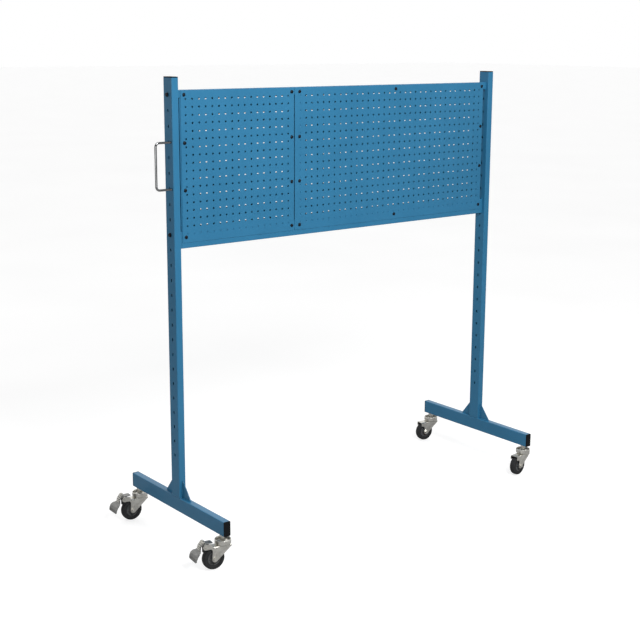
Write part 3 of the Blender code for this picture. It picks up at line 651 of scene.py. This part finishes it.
# ---- uprights and feet ----
def measured_across(node, axis):
    """A node's width and depth across an axis, its ends along it, and the middle of its section."""
    low, high, centre = measured(node)
    first, second, third = {"X": (1, 2, 0), "Y": (0, 2, 1), "Z": (0, 1, 2)}[axis]
    centre[third] = 0
    return high[first] - low[first], high[second] - low[second], low[third], high[third], centre


def add_tube(node, name, axis, corner, slots=()):
    """A tube along an axis that fills its node's box."""
    width, depth, low, high, centre = measured_across(node, axis)
    mesh = bmesh.new()
    square_tube(mesh, width, depth, corner, axis, low, high, centre, slots)
    add_piece(name, mesh, BLUE, replaces=[node])


def add_cap(node, name, axis, seat, facing):
    """A push-in cap on a tube's end: a neck inside the tube, and a flange with a softened rim."""
    width, depth, low, high, centre = measured_across(node, axis)
    base, tip = seat + facing * EDGE, high if facing > 0 else low
    neck, soft = 0.013, 0.0009

    def outline(shrink):
        half_width, half_depth = width / 2 - shrink, depth / 2 - shrink
        corners = rectangle(-half_width, -half_depth, half_width, half_depth)
        return fillet(corners, max(TUBE_CORNER - shrink, 0.0006), CORNER_STEPS)

    inside = outline(TUBE_WALL + EDGE)
    steps = [(inside, base - facing * neck), (inside, base), (outline(EDGE), base)]
    steps += [(outline(0.0), base + facing * EDGE), (outline(0.0), tip - facing * soft)]
    steps += [(outline(soft * 0.3), tip - facing * soft * 0.3), (outline(soft), tip)]
    mesh = bmesh.new()
    stacked(mesh, steps, axis, centre)
    add_piece(name, mesh, BLACK, replaces=[node])


def add_gusset(side, end, facing):
    """A triangular plate with softened edges, between upright and foot."""
    node = f"{side}_{end}_gusset"
    low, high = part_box(node)
    near, far = (high.y, low.y) if facing < 0 else (low.y, high.y)
    tip = 0.005
    outline = [(near, low.z), (far, low.z), (far, low.z + tip / 2)]
    outline += [(near + facing * tip, high.z), (near, high.z)]
    mesh = bmesh.new()
    flat_plate(mesh, fillet(outline, 0.0015), [], "X", low.x, high.x, 0.0004)
    add_piece(f"{side}_{end}_gusset_plate", mesh, BLUE, replaces=[node])


def bead(mesh, start, end, across, up, radius=0.0016, pitch=0.0017):
    """A rippled weld bead in the corner between two faces, from one point to another."""
    start, end, across, up = (Vector(v) for v in (start, end, across, up))
    count = max(int((end - start).length / pitch) * 4, 8)
    buried = [(-0.0003, -0.0003)]
    loops = []
    for k in range(count + 1):
        t = k / count
        taper = min(1.0, 3.5 * math.sqrt(t * (1 - t)) + 0.15)
        swell = radius * (1 + 0.14 * math.cos(math.pi * k / 2)) * taper
        root = start.lerp(end, t)
        arc = circle(swell, 7, (0.0, 0.0), 0.0, math.pi / 2)
        loops.append([root + across * a + up * b for a, b in arc + buried])
    loft(mesh, loops)


def add_welds(side):
    """The beads that hold the gussets and the upright to the foot."""
    mesh = bmesh.new()
    x = UPRIGHTS[side].x
    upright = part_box(side + "_upright")
    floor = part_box(side + "_foot")[1].z
    half_plate = 0.0015
    near_gap, far_gap = 0.004, 0.002
    upwards = (0, 0, 1)
    for end, facing in ENDS.items():
        low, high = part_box(f"{side}_{end}_gusset")
        wall = upright[0].y if facing < 0 else upright[1].y
        tip = low.y if facing < 0 else high.y
        endwards = (0, facing, 0)
        for out in (-1, 1):
            face = x + out * half_plate
            sideways = (out, 0, 0)
            bead(mesh, (face, wall, floor + near_gap), (face, wall, high.z - far_gap), sideways, endwards)
            first = (face, wall + facing * near_gap, floor)
            bead(mesh, first, (face, tip - facing * far_gap, floor), sideways, upwards)
            inner, outer = x + out * 0.0025, x + out * (upright[1].x - x - 0.0015)
            bead(mesh, (inner, wall, floor), (outer, wall, floor), endwards, upwards)
    add_piece(side + "_weld_beads", mesh, BLUE)


# ---- the board ----
def add_rail(node, tube_low, tube_high):
    """A rail of the board's frame, with the plate welded over each end."""
    low, high, centre = measured(node)
    depth = high.y - low.y
    mesh = bmesh.new()
    place = (0, centre.y, (tube_low + tube_high) / 2)
    left, right = low.x + RAIL_PLATE, high.x - RAIL_PLATE
    square_tube(mesh, depth, tube_high - tube_low, RAIL_CORNER, "X", left, right, place)
    half = (depth - RAIL_CORNER) / 2
    plate = fillet(rectangle(centre.y - half, low.z, centre.y + half, high.z), RAIL_CORNER)
    for near, far in ((low.x, left), (right, high.x)):
        flat_plate(mesh, plate, [], "X", near, far)
    add_piece(node + "_tube", mesh, BLUE, replaces=[node])


def peg_cell(mesh, x, z, front, thickness):
    """A square cell of a sheet round one peg hole, with twelve points round each outline."""
    border = [(1, 1 / 3), (1, 1), (1 / 3, 1), (-1 / 3, 1), (-1, 1), (-1, 1 / 3)]
    border += [(-a, -b) for a, b in border]
    half = PEG_PITCH / 2
    square = [(x + a * half, z + b * half) for a, b in border]
    hole = [(x + a, z + b) for a, b in circle(PEG_RADIUS, 12, start=math.radians(15))]
    wide = [(x + a, z + b) for a, b in circle(PEG_RADIUS + PEG_EDGE, 12, start=math.radians(15))]
    rings = ((square, 0.0), (wide, 0.0), (hole, PEG_EDGE), (hole, thickness - PEG_EDGE))
    rings += ((wide, thickness), (square, thickness))
    loft(mesh, [[(a, front + depth, b) for a, b in loop] for loop, depth in rings], caps=False)


def add_peg_sheet(half):
    """A front sheet: a grid of peg cells inside a plain margin."""
    node = f"front_{half}_sheet"
    low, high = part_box(node)
    thickness = high.y - low.y
    first_x, columns = PEG_COLUMNS[half]
    xs = [CENTRE.x + first_x + PEG_PITCH * k for k in range(columns)]
    zs = [PEG_TOP_Z - PEG_PITCH * k for k in reversed(range(PEG_ROWS))]
    mesh = bmesh.new()
    for x in xs:
        for z in zs:
            peg_cell(mesh, x, z, low.y, thickness)

    def stations(places):
        """Where the cells' border points lie along one side of the grid."""
        found = [places[0] - PEG_PITCH / 2]
        for p in places:
            found += [p - PEG_PITCH / 6, p + PEG_PITCH / 6, p + PEG_PITCH / 2]
        return found

    wide = [low.x + EDGE] + stations(xs) + [high.x - EDGE]
    tall = [low.z + EDGE] + stations(zs) + [high.z - EDGE]
    margin = []
    for left, right in zip(wide, wide[1:]):
        margin += [(left, a, right, b) for a, b in (tall[:2], tall[-2:])]
    for bottom, top in zip(tall[1:-2], tall[2:-1]):
        margin += [(a, bottom, b, top) for a, b in (wide[:2], wide[-2:])]
    for y in (low.y, low.y + thickness):
        for corners in margin:
            mesh.faces.new([mesh.verts.new((a, y, b)) for a, b in rectangle(*corners)])
    inner = [(a, tall[0]) for a in wide[:-1]] + [(wide[-1], b) for b in tall[:-1]]
    inner += [(a, tall[-1]) for a in reversed(wide[1:])]
    inner += [(wide[0], b) for b in reversed(tall[1:])]
    outer_x = {wide[0]: low.x, wide[-1]: high.x}
    outer_z = {tall[0]: low.z, tall[-1]: high.z}
    rim = [(outer_x.get(a, a), outer_z.get(b, b)) for a, b in inner]
    soft_rim(mesh, rim, inner, lambda a, b, depth: (a, low.y + depth, b), thickness)
    add_piece(f"front_{half}_peg_sheet", mesh, BLUE, replaces=[node])


def add_slit_sheet(half):
    """A rear sheet, with rows of short level slits for hanging bins on."""
    node = f"rear_{half}_sheet"
    low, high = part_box(node)
    first_x, columns = SLIT_COLUMNS[half]
    length, height = SLIT_SIZE
    slits = []
    for column in range(columns):
        x = CENTRE.x + first_x + SLIT_PITCH[0] * column
        for row in range(SLIT_ROWS):
            slit = slot_outline(height, length, (SLIT_TOP_Z - SLIT_PITCH[1] * row, x))
            slits.append([(b, a) for a, b in slit])
    mesh = bmesh.new()
    flat_plate(mesh, rectangle(low.x, low.z, high.x, high.z), slits, "Y", high.y, low.y)
    add_piece(f"rear_{half}_slit_sheet", mesh, BLUE, replaces=[node])


def screw_mesh():
    """A domed socket-head screw, its seat at the origin and its head along +Y."""
    mesh = bmesh.new()
    sides, shank, socket = 24, 0.002, 0.0016
    radius, rise = SCREW_HEAD_RADIUS, SCREW_HEAD_HEIGHT - SCREW_RIM
    profile = [(shank, -0.0015), (shank, 0.0), (radius, 0.0), (radius, SCREW_RIM)]
    profile += [(radius * math.cos(a), SCREW_RIM + rise * math.sin(a)) for a in (0.3, 0.6, 0.9, 1.12)]
    steps = [(circle(r, sides), height) for r, height in profile]
    steps += [(hexagon(socket, sides), SCREW_HEAD_HEIGHT), (hexagon(0.9 * socket, sides), 0.0012)]
    stacked(mesh, steps, "Y")
    return mesh


def add_sheet_screws(side, facing):
    """The screws of one side's sheets, each turned its own way."""
    places = []
    for half, columns in SCREW_COLUMNS.items():
        places += [(half, x, z) for x in columns for z in SCREW_HEIGHTS]
    places += [("right", MIDDLE_SCREW_X, z) for z in (SCREW_HEIGHTS[0], SCREW_HEIGHTS[-1])]
    for number, (half, x, z) in enumerate(places, 1):
        low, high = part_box(f"{side}_{half}_sheet")
        y = low.y if facing < 0 else high.y
        turn = Matrix.Rotation(SCREW_TURN * number, 4, "Y")
        flip = Matrix.Rotation(math.pi, 4, "Z") if facing < 0 else Matrix.Identity(4)
        place = Matrix.Translation((CENTRE.x + x, y, z)) @ flip @ turn
        add_piece(f"{side}_{half}_screw_{number:02d}", screw_mesh(), OXIDE, place=place)


def add_frame_bolt(node, sign):
    """A flanged hexagon bolt whose head bears on the upright."""
    low, high, centre = measured(node)
    head = 0.006
    face, tip = (high.x - head, low.x) if sign > 0 else (low.x + head, high.x)
    place = (0, centre.y, centre.z)
    mesh = bmesh.new()
    flange = [(0.003, tip), (0.003, face), (0.0068, face), (0.007, face + sign * 0.0004)]
    flange += [(0.0069, face + sign * 0.001), (0.0058, face + sign * 0.0016)]
    stacked(mesh, [(circle(radius, 36), height) for radius, height in flange], "X", place)
    hexagon_head(mesh, 0.0048, face + sign * 0.0012, face + sign * 0.0058, "X", place)
    add_piece(node + "_head", mesh, STEEL, replaces=[node])


def add_handle():
    """The chrome push handle: a round bar bent through two right angles, and its two screws."""
    low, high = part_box("push_handle")
    radius = (high.y - low.y) / 2
    bend = 0.012
    out, face, y = low.x + radius, high.x, (low.y + high.y) / 2
    top, bottom = high.z - radius, low.z + radius
    corners = [(face, top), (out, top), (out, bottom), (face, bottom)]
    path = fillet(corners, bend, 12, closed=False)
    mesh = bmesh.new()
    rod(mesh, [(x, y, z) for x, z in path], radius, 32)
    add_piece("push_handle_bar", mesh, CHROME, replaces=["push_handle"])
    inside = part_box("left_upright")[1].x
    for end, z in (("upper", top), ("lower", bottom)):
        place = Matrix.Translation((inside, y, z)) @ Matrix.Rotation(-math.pi / 2, 4, "Z")
        add_piece(f"handle_{end}_screw", screw_mesh(), OXIDE, place=place)


# ---- castors ----
def add_stem(name, place):
    """The fixed stem: kingpin rivet, upper race, hexagon and thread."""
    low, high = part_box(name + "_castor_stem")
    hex_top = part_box(name.split("_")[0] + "_foot")[0].z - EDGE
    hex_low, hex_apothem = hex_top - 0.0088, 0.0088
    rivet, race = low.z + 0.003, 0.0861
    profile = [(0.0, low.z), (0.0055, low.z), (0.008, low.z + 0.0012), (0.008, rivet), (0.005, rivet)]
    profile += [(0.005, race), (0.022, race), (0.0225, race + 0.0006), (0.0222, race + 0.002)]
    profile += [(0.02, race + 0.0028), (0.013, race + 0.0042), (0.0095, race + 0.0046)]
    profile += [(0.0085, race + 0.0056), (0.0085, hex_low), (0.006, hex_low)]
    profile += [(0.006, hex_top - 0.0002), (0.0, hex_top - 0.0002)]
    mesh = bmesh.new()
    turned(mesh, profile, 48)
    hexagon_head(mesh, hex_apothem, hex_low - 0.0002, hex_top, "Z")
    thread = [(0.0, hex_top - 0.0005), (0.0056, hex_top - 0.0005)]
    pitch, root, crest = 0.00175, 0.0051, 0.006
    for k in range(int((high.z - hex_top) / pitch)):
        base = hex_top + pitch * k
        thread += [(root, base + 0.25 * pitch), (crest, base + 0.75 * pitch)]
    thread += [(0.005, high.z), (0.0, high.z)]
    turned(mesh, thread, 24)
    add_piece(name + "_stem", mesh, ZINC, replaces=[name + "_castor_stem"], place=place)


def add_ball_race(name, place):
    """Balls and their cage, between the fork's head and the stem's race."""
    height = measured(name + "_ball_race")[2].z
    half_width, half_height = 0.0015, 0.0008
    mesh = bmesh.new()
    cage = rectangle(RACE_RADIUS - half_width, -half_height, RACE_RADIUS + half_width, half_height)
    turned(mesh, cage, 48, centre=(0, 0, height), ring=True)
    for x, y in circle(RACE_RADIUS, BALL_COUNT):
        ball = bmesh.ops.create_uvsphere(mesh, u_segments=16, v_segments=10, radius=BALL_RADIUS)
        bmesh.ops.translate(mesh, verts=ball["verts"], vec=(x, y, height))
    add_piece(name + "_balls", mesh, STEEL, name + "_swivel", [name + "_ball_race"], place)


def fork_side(braked):
    """The leg's side view below the bend, from its front to its rear, as (x, z)."""
    axle = (TRAIL, WHEEL_RADIUS)
    boss = circle(FORK_BOSS_RADIUS, 12, axle, math.radians(222), math.radians(138))
    if not braked:
        rear = [(0.0435, 0.053), (0.0455, 0.061), (FORK_REAR_X, 0.064)]
        return [FORK_NOSE] + boss + fillet([boss[-1]] + rear, 0.004, 4, closed=False)[1:]
    arm_end = circle(BRAKE_ARM_RADIUS, 13, BRAKE_PIN, -math.pi / 2, math.pi)
    rear = [boss[-1], (0.0435, 0.068), (0.048, 0.074), arm_end[0]]
    top = [(0.052, 0.0915), (0.046, 0.088), (0.0425, 0.082), (0.0425, 0.0755)]
    return [FORK_NOSE] + boss + fillet(rear, 0.005, 4, closed=False)[1:-1] + arm_end + top


def add_fork(name, braked, place):
    """A pressed fork, folded from one blank, with the dish that holds the balls."""
    half, bend = FORK_HALF_WIDTH, FORK_BEND
    down = FORK_TOP_Z - bend

    def symmetric(radius, centre, end):
        right = circle(radius, 8, centre, math.pi / 2, -math.pi / 2) + [end]
        return [(-a, b) for a, b in reversed(right)] + right

    points = symmetric(bend, (half - bend, down), (half, 0.02))
    normals = symmetric(1.0, (0, 0), (1.0, 0.0))
    wrap, reached = bend_profile(points, normals)
    mid = reached[-1] / 2
    leg_start = reached[-2] - mid
    slit = 0.0415
    plate_rear, drop = (0.0405, 0.0005) if braked else (FORK_REAR_X, 0.001)

    def along_leg(z):
        return leg_start + down - z

    def put(s, x, depth):
        if braked and x > slit and abs(s) < leg_start:
            side = math.copysign(1.0, s)
            return Vector((x, side * (half - depth), down + leg_start - abs(s)))
        y, z, x = wrap(s + mid, x, depth)
        return Vector((x, y, z))

    leg = [(along_leg(z), x) for x, z in fork_side(braked)] + [(leg_start + drop, plate_rear)]
    right_half = [(0.0, FORK_NOSE[0])] + leg + [(0.0, plate_rear)]
    outline = right_half + [(-s, x) for s, x in reversed(right_half)][1:-1]
    holes = []
    pin_x, pin_z = BRAKE_PIN
    for side in (-1, 1):
        holes.append(circle(AXLE_RADIUS + EDGE, 20, (side * along_leg(WHEEL_RADIUS), TRAIL)))
        if braked:
            holes.append(circle(PIN_HOLE_RADIUS, 16, (side * along_leg(pin_z), pin_x)))
    kingpin = 0.0055
    holes.append(circle(kingpin, 20))
    mesh = bmesh.new()
    rulings = [s - mid for s in reached[1:-1]]
    pressed(mesh, outline, holes, put, FORK_PLATE, rulings)

    bore = 0.0056
    inside = HEAD_RADIUS - FORK_PLATE
    under, floor = FORK_TOP_Z - 0.0022, FORK_TOP_Z + 0.0002
    dish = [(bore, under), (HEAD_RADIUS - 0.0065, under), (HEAD_RADIUS - 0.0005, FORK_TOP_Z + 0.0022)]
    dish += [(HEAD_RADIUS, FORK_TOP_Z + 0.004), (HEAD_RADIUS, HEAD_RIM_Z - 0.001)]
    dish += [(HEAD_RADIUS - 0.001, HEAD_RIM_Z), (inside + 0.0006, HEAD_RIM_Z)]
    dish += [(inside, HEAD_RIM_Z - 0.0008), (inside, floor + 0.003)]
    dish += [(inside - 0.003, floor), (bore, floor)]
    turned(mesh, fillet(dish, 0.0012, 3), 64, ring=True)
    add_piece(name + "_fork", mesh, ZINC, name + "_swivel", [name + "_castor_fork"], place)


def add_axle(name, place):
    """The axle bolt: a shank with a washer and a hexagon at each end."""
    leg = FORK_HALF_WIDTH + EDGE
    head, washer_radius, washer_top = 0.0053, 0.0068, leg + 0.0008
    centre = (TRAIL, 0, WHEEL_RADIUS)
    mesh = bmesh.new()
    turned(mesh, rectangle(0.0, -leg, AXLE_RADIUS, leg), 32, "Y", centre)
    for sign in (-1, 1):
        washer = rectangle(0.0, leg, washer_radius, washer_top)
        turned(mesh, [(r, sign * h) for r, h in washer], 36, "Y", centre)
        hexagon_head(mesh, 0.0061, sign * (leg + 0.0007), sign * (leg + head), "Y", centre)
    add_piece(name + "_axle", mesh, ZINC, name + "_swivel", [name + "_axle_bolt"], place)


def add_wheel(name, place):
    """The wheel's ribbed core and its tyre."""
    centre = Vector((TRAIL, 0, WHEEL_RADIUS))
    body = name + "_wheel"
    half = [(AXLE_RADIUS + EDGE, -0.013), (0.0086, -0.013), (0.0092, -0.006), (0.0178, -0.006)]
    half += [(0.019, -0.0092), (RIM_RADIUS, -0.0092)]
    mesh = bmesh.new()
    turned(mesh, fillet(mirrored(half), 0.0007, 3), 64, "Y", centre, ring=True)
    ribs, rib = 8, 0.0008
    for k in range(ribs):
        turn = Matrix.Rotation(2 * math.pi * k / ribs, 4, "Y")
        for sign in (-1, 1):
            corners = [(0.0088, 0.0118), (0.0186, 0.0086), (0.0186, 0.0058), (0.0088, 0.0058)]
            loops = []
            for z, shrink in ((-rib, 0.0003), (-rib * 0.6, 0.0), (rib * 0.6, 0.0), (rib, 0.0003)):
                loops.append([centre + turn @ Vector((r, sign * (h - shrink), z)) for r, h in corners])
            loft(mesh, loops)
    add_piece(name + "_wheel_core_moulding", mesh, NYLON, body, [name + "_wheel_core"], place)

    side = [(RIM_RADIUS + 0.0005, -0.0088), (RIM_RADIUS + 0.0022, -0.0112), (0.03, -0.0117)]
    side += [(0.0307, -0.0112), (0.0313, -0.0118), (0.0337, -0.0112), (0.036, -0.0092)]
    side += [(0.0372, -0.0055), (WHEEL_RADIUS, -0.0012)]
    mesh = bmesh.new()
    turned(mesh, fillet(mirrored(side), 0.0009, 3), 96, "Y", centre, ring=True)
    add_piece(name + "_tyre_moulding", mesh, RUBBER, body, [name + "_tyre"], place)


# The middle of the lever's plate, as (x, z), from the shoe over the adjuster and down the pedal.
LEVER_PATH = [(0.04, LEVER_Z), (0.075, LEVER_Z), (0.0812, 0.0905), (0.0832, 0.0835), (0.0842, 0.0765)]
LEVER_PATH += [(0.087, 0.0715), (0.0935, 0.068), (0.1003, 0.062), (0.1045, 0.053), (0.1065, 0.0425)]


def add_adjuster(name, place):
    """The brake's adjuster, a knurled wheel and a hexagon on a stud, and ribs across the lever's neck."""
    mesh = bmesh.new()
    low, high, stud_top = LEVER_Z + LEVER_PLATE / 2 + EDGE, 0.101, 0.1066
    centre = (ADJUSTER_X, 0, 0)
    teeth, groove, soft = 20, 0.9, 0.0007

    def knurl(radius):
        """An outline of teeth, every second point lying in a groove."""
        found = []
        for k in range(2 * teeth):
            angle = math.pi * k / teeth
            reach = radius * (1.0 if k % 2 else groove)
            found.append((reach * math.cos(angle), reach * math.sin(angle)))
        return found

    end, full = knurl(0.0078), knurl(0.0085)
    stacked(mesh, [(end, low), (full, low + soft), (full, high - soft), (end, high)], "Z", centre)
    hexagon_head(mesh, 0.005, high - 0.0001, high + 0.0042, "Z", centre)
    stud = [(0.0, high), (0.003, high), (0.003, stud_top - 0.0005), (0.0024, stud_top), (0.0, stud_top)]
    turned(mesh, stud, 20, "Z", centre)
    rib = [(0.0, -0.0105), (0.0014, -0.0105), (0.0019, -0.01)]
    for x, z in ((0.079, 0.0936), (0.0837, 0.089), (0.0855, 0.083), (0.0864, 0.0775)):
        turned(mesh, mirrored(rib), 16, "Y", (x, 0, z))
    add_piece(name + "_adjuster", mesh, ZINC, name + "_brake", place=place)


def add_brake(name, place):
    """The foot brake: pivot pin, pressed lever with a wide curved pedal, and its shoe."""
    pin = [(0.0, -0.0185), (0.0022, -0.0185), (0.0038, -0.0178), (0.004, -0.0169), (0.0025, -0.0169)]
    mesh = bmesh.new()
    turned(mesh, mirrored(pin), 28, "Y", (BRAKE_PIN[0], 0, BRAKE_PIN[1]))
    add_piece(name + "_pivot", mesh, ZINC, name + "_swivel", [name + "_brake_pin"], place)

    path = fillet(LEVER_PATH, 0.006, 3, closed=False)
    normals, raised = [], []
    for k, (x, z) in enumerate(path):
        before, after = path[max(k - 1, 0)], path[min(k + 1, len(path) - 1)]
        along = Vector((after[0] - before[0], after[1] - before[1])).normalized()
        normals.append((-along.y, along.x))
        raised.append((x - along.y * LEVER_PLATE / 2, z + along.x * LEVER_PLATE / 2))
    wrap, reached = bend_profile(raised, normals)
    length = reached[-1]

    def put(s, y, depth):
        x, z, y = wrap(s, y, depth)
        return Vector((x, y, z))

    arm, pad = 0.012, 0.028
    half = [(0.0, arm), (0.0555, arm), (0.061, 0.0175), (0.069, 0.025), (0.08, pad)]
    half.append((length, 0.0265))
    outline = fillet(mirrored(half), 0.005, 5)
    mesh = bmesh.new()
    pressed(mesh, outline, [], put, LEVER_PLATE, reached[1:-1], 0.0005)
    front, rear, bottom = 0.056, 0.075, 0.078
    cheek = fillet(rectangle(front, bottom, rear, LEVER_Z - LEVER_PLATE * 0.2), 0.004, 5)
    hole = circle(PIN_HOLE_RADIUS, 16, BRAKE_PIN)
    for low, high in ((-CHEEK_OUTER, -CHEEK_INNER), (CHEEK_INNER, CHEEK_OUTER)):
        flat_plate(mesh, cheek, [hole], "Y", low, high)
    add_piece(name + "_lever", mesh, SATIN, name + "_brake", [name + "_brake_pedal"], place)

    shoe = frame["nodes"][name + "_brake_shoe"].data
    shoe.materials.clear()
    shoe.materials.append(RUBBER)


def add_castor(name, braked):
    """A castor, in its own frame: on the swivel axis, with +X towards the wheel's axle."""
    joints = {joint["name"]: joint for joint in frame["joints"]}
    swivel = Vector(joints[name + "_swivel_turn"]["pos_m"])
    axle = Vector(joints[name + "_wheel_spin"]["pos_m"])
    angle = math.atan2(axle.y - swivel.y, axle.x - swivel.x)
    place = Matrix.Translation((swivel.x, swivel.y, 0)) @ Matrix.Rotation(angle, 4, "Z")
    add_stem(name, place)
    add_ball_race(name, place)
    add_fork(name, braked, place)
    add_axle(name, place)
    add_wheel(name, place)
    if braked:
        add_brake(name, place)
        add_adjuster(name, place)


# ---- studio ----
def seen_by_camera(tree, unseen, seen):
    """A value that is one number to the camera and another to every other ray."""
    ray = add_node(tree, "LightPath", "Is Camera Ray")
    return add_node(tree, "Mix", "Result", Factor=ray, A=unseen, B=seen)


def add_floor():
    """A plain floor out to the horizon. It shows nearly white, yet throws little light upwards."""
    data = bpy.data.meshes.new("studio_floor")
    corners = [(x, y, 0) for x, y in rectangle(-60, -60, 60, 60)]
    data.from_pydata(corners, [], [(0, 1, 2, 3)])
    floor = placed("studio_floor", data)
    surface = Surface("studio_floor", "floor", Roughness=0.9, Specular_IOR_Level=0.1)
    darker, lighter = ((grey, grey, grey) for grey in FLOOR_GREYS)
    surface.set("Base Color", surface.ramp(surface.noise(0.8, 2.0), darker, lighter))
    surface.set("Emission Color", (1, 1, 1, 1))
    surface.set("Emission Strength", seen_by_camera(surface.tree, 0.0, FLOOR_GLOW))
    data.materials.append(surface.material)


def add_light(name, place, target, size, power):
    """A rectangular area light that faces a point."""
    data = bpy.data.lights.new(name, "AREA")
    data.shape = "RECTANGLE"
    data.size, data.size_y = size
    data.energy = power
    light = placed(name, data)
    light.location = place
    light.rotation_euler = (Vector(target) - Vector(place)).to_track_quat("-Z", "Y").to_euler()


def add_world():
    """A dim room with a bright backdrop behind the stand; the camera sees all of it white."""
    world = bpy.data.worlds.new("studio")
    world.use_nodes = True
    tree = world.node_tree
    towards = tree.nodes.new("ShaderNodeVectorMath")
    towards.operation = "DOT_PRODUCT"
    tree.links.new(add_node(tree, "TexCoord", "Generated"), towards.inputs[0])
    towards.inputs[1].default_value = BACKDROP_DIRECTION
    limits = {"From_Min": -0.4, "From_Max": 0.5, "To_Min": ROOM_LIGHT, "To_Max": BACKDROP_LIGHT}
    smooth = ("interpolation_type", "SMOOTHSTEP")
    shade = add_node(tree, "MapRange", "Result", smooth, Value=towards.outputs["Value"], **limits)
    background = tree.nodes["Background"]
    feed(tree, background.inputs["Color"], (1, 1, 1, 1))
    feed(tree, background.inputs["Strength"], seen_by_camera(tree, shade, 1.0))
    bpy.context.scene.world = world


def add_studio():
    """The plain display transform, the room, the floor and two lamps."""
    bpy.context.scene.view_settings.view_transform = "Standard"
    add_world()
    add_floor()
    add_light("key", (-0.3, -2.6, 2.9), (0.0, 0.0, 1.1), (1.4, 1.0), KEY_POWER)
    add_light("side", (-3.5, -2.7, 1.35), (-0.5, 0.0, 1.2), (1.6, 1.5), SIDE_POWER)


def add_camera():
    """The camera, at the height and side from which the stand is normally seen."""
    data = bpy.data.cameras.new("camera")
    data.sensor_width = 36.0
    data.lens = CAMERA_LENS
    data.shift_x, data.shift_y = CAMERA_SHIFT
    data.clip_end = 200.0
    camera = placed("camera", data)
    level = Vector((math.sin(CAMERA_YAW), math.cos(CAMERA_YAW), 0))
    forward = level * math.cos(CAMERA_PITCH) + Vector((0, 0, math.sin(CAMERA_PITCH)))
    right = forward.cross(Vector((0, 0, 1))).normalized()
    rolled = right * math.cos(CAMERA_ROLL) + right.cross(forward) * math.sin(CAMERA_ROLL)
    place = Matrix((rolled, rolled.cross(forward), -forward)).transposed().to_4x4()
    place.translation = Vector(CAMERA_PLACE) + Vector((CENTRE.x, CENTRE.y, 0))
    camera.matrix_world = place
    bpy.context.scene.camera = camera


# ---- the stand ----
for side, sign in (("left", -1), ("right", 1)):
    add_tube(side + "_upright", side + "_upright_tube", "Z", TUBE_CORNER, SLOT_HEIGHTS)
    add_tube(side + "_foot", side + "_foot_tube", "Y", TUBE_CORNER)
    add_cap(side + "_upright_cap", side + "_top_cap", "Z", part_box(side + "_upright")[1].z, 1)
    for end, facing in ENDS.items():
        foot_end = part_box(side + "_foot")[0 if facing < 0 else 1].y
        add_cap(f"{side}_{end}_foot_plug", f"{side}_{end}_end_plug", "Y", foot_end, facing)
    for end, facing in ENDS.items():
        add_gusset(side, end, facing)
    add_welds(side)
    for level in ("upper", "lower"):
        add_frame_bolt(f"{side}_{level}_frame_bolt", sign)

rail_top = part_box("top_rail")[1].z
rail_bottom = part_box("bottom_rail")[0].z
add_rail("top_rail", rail_top - TOP_RAIL_HEIGHT, rail_top)
add_rail("bottom_rail", rail_bottom, rail_bottom + BOTTOM_RAIL_HEIGHT)
for post in ("left_end_post", "left_centre_post", "right_centre_post", "right_end_post"):
    add_tube(post, post + "_tube", "Z", RAIL_CORNER)
for half in ("left", "right"):
    add_peg_sheet(half)
    add_slit_sheet(half)
for end, facing in ENDS.items():
    add_sheet_screws(end, facing)
add_handle()
for side, braked in (("left", True), ("right", False)):
    for end in ENDS:
        add_castor(f"{side}_{end}", braked)
add_studio()
add_camera()
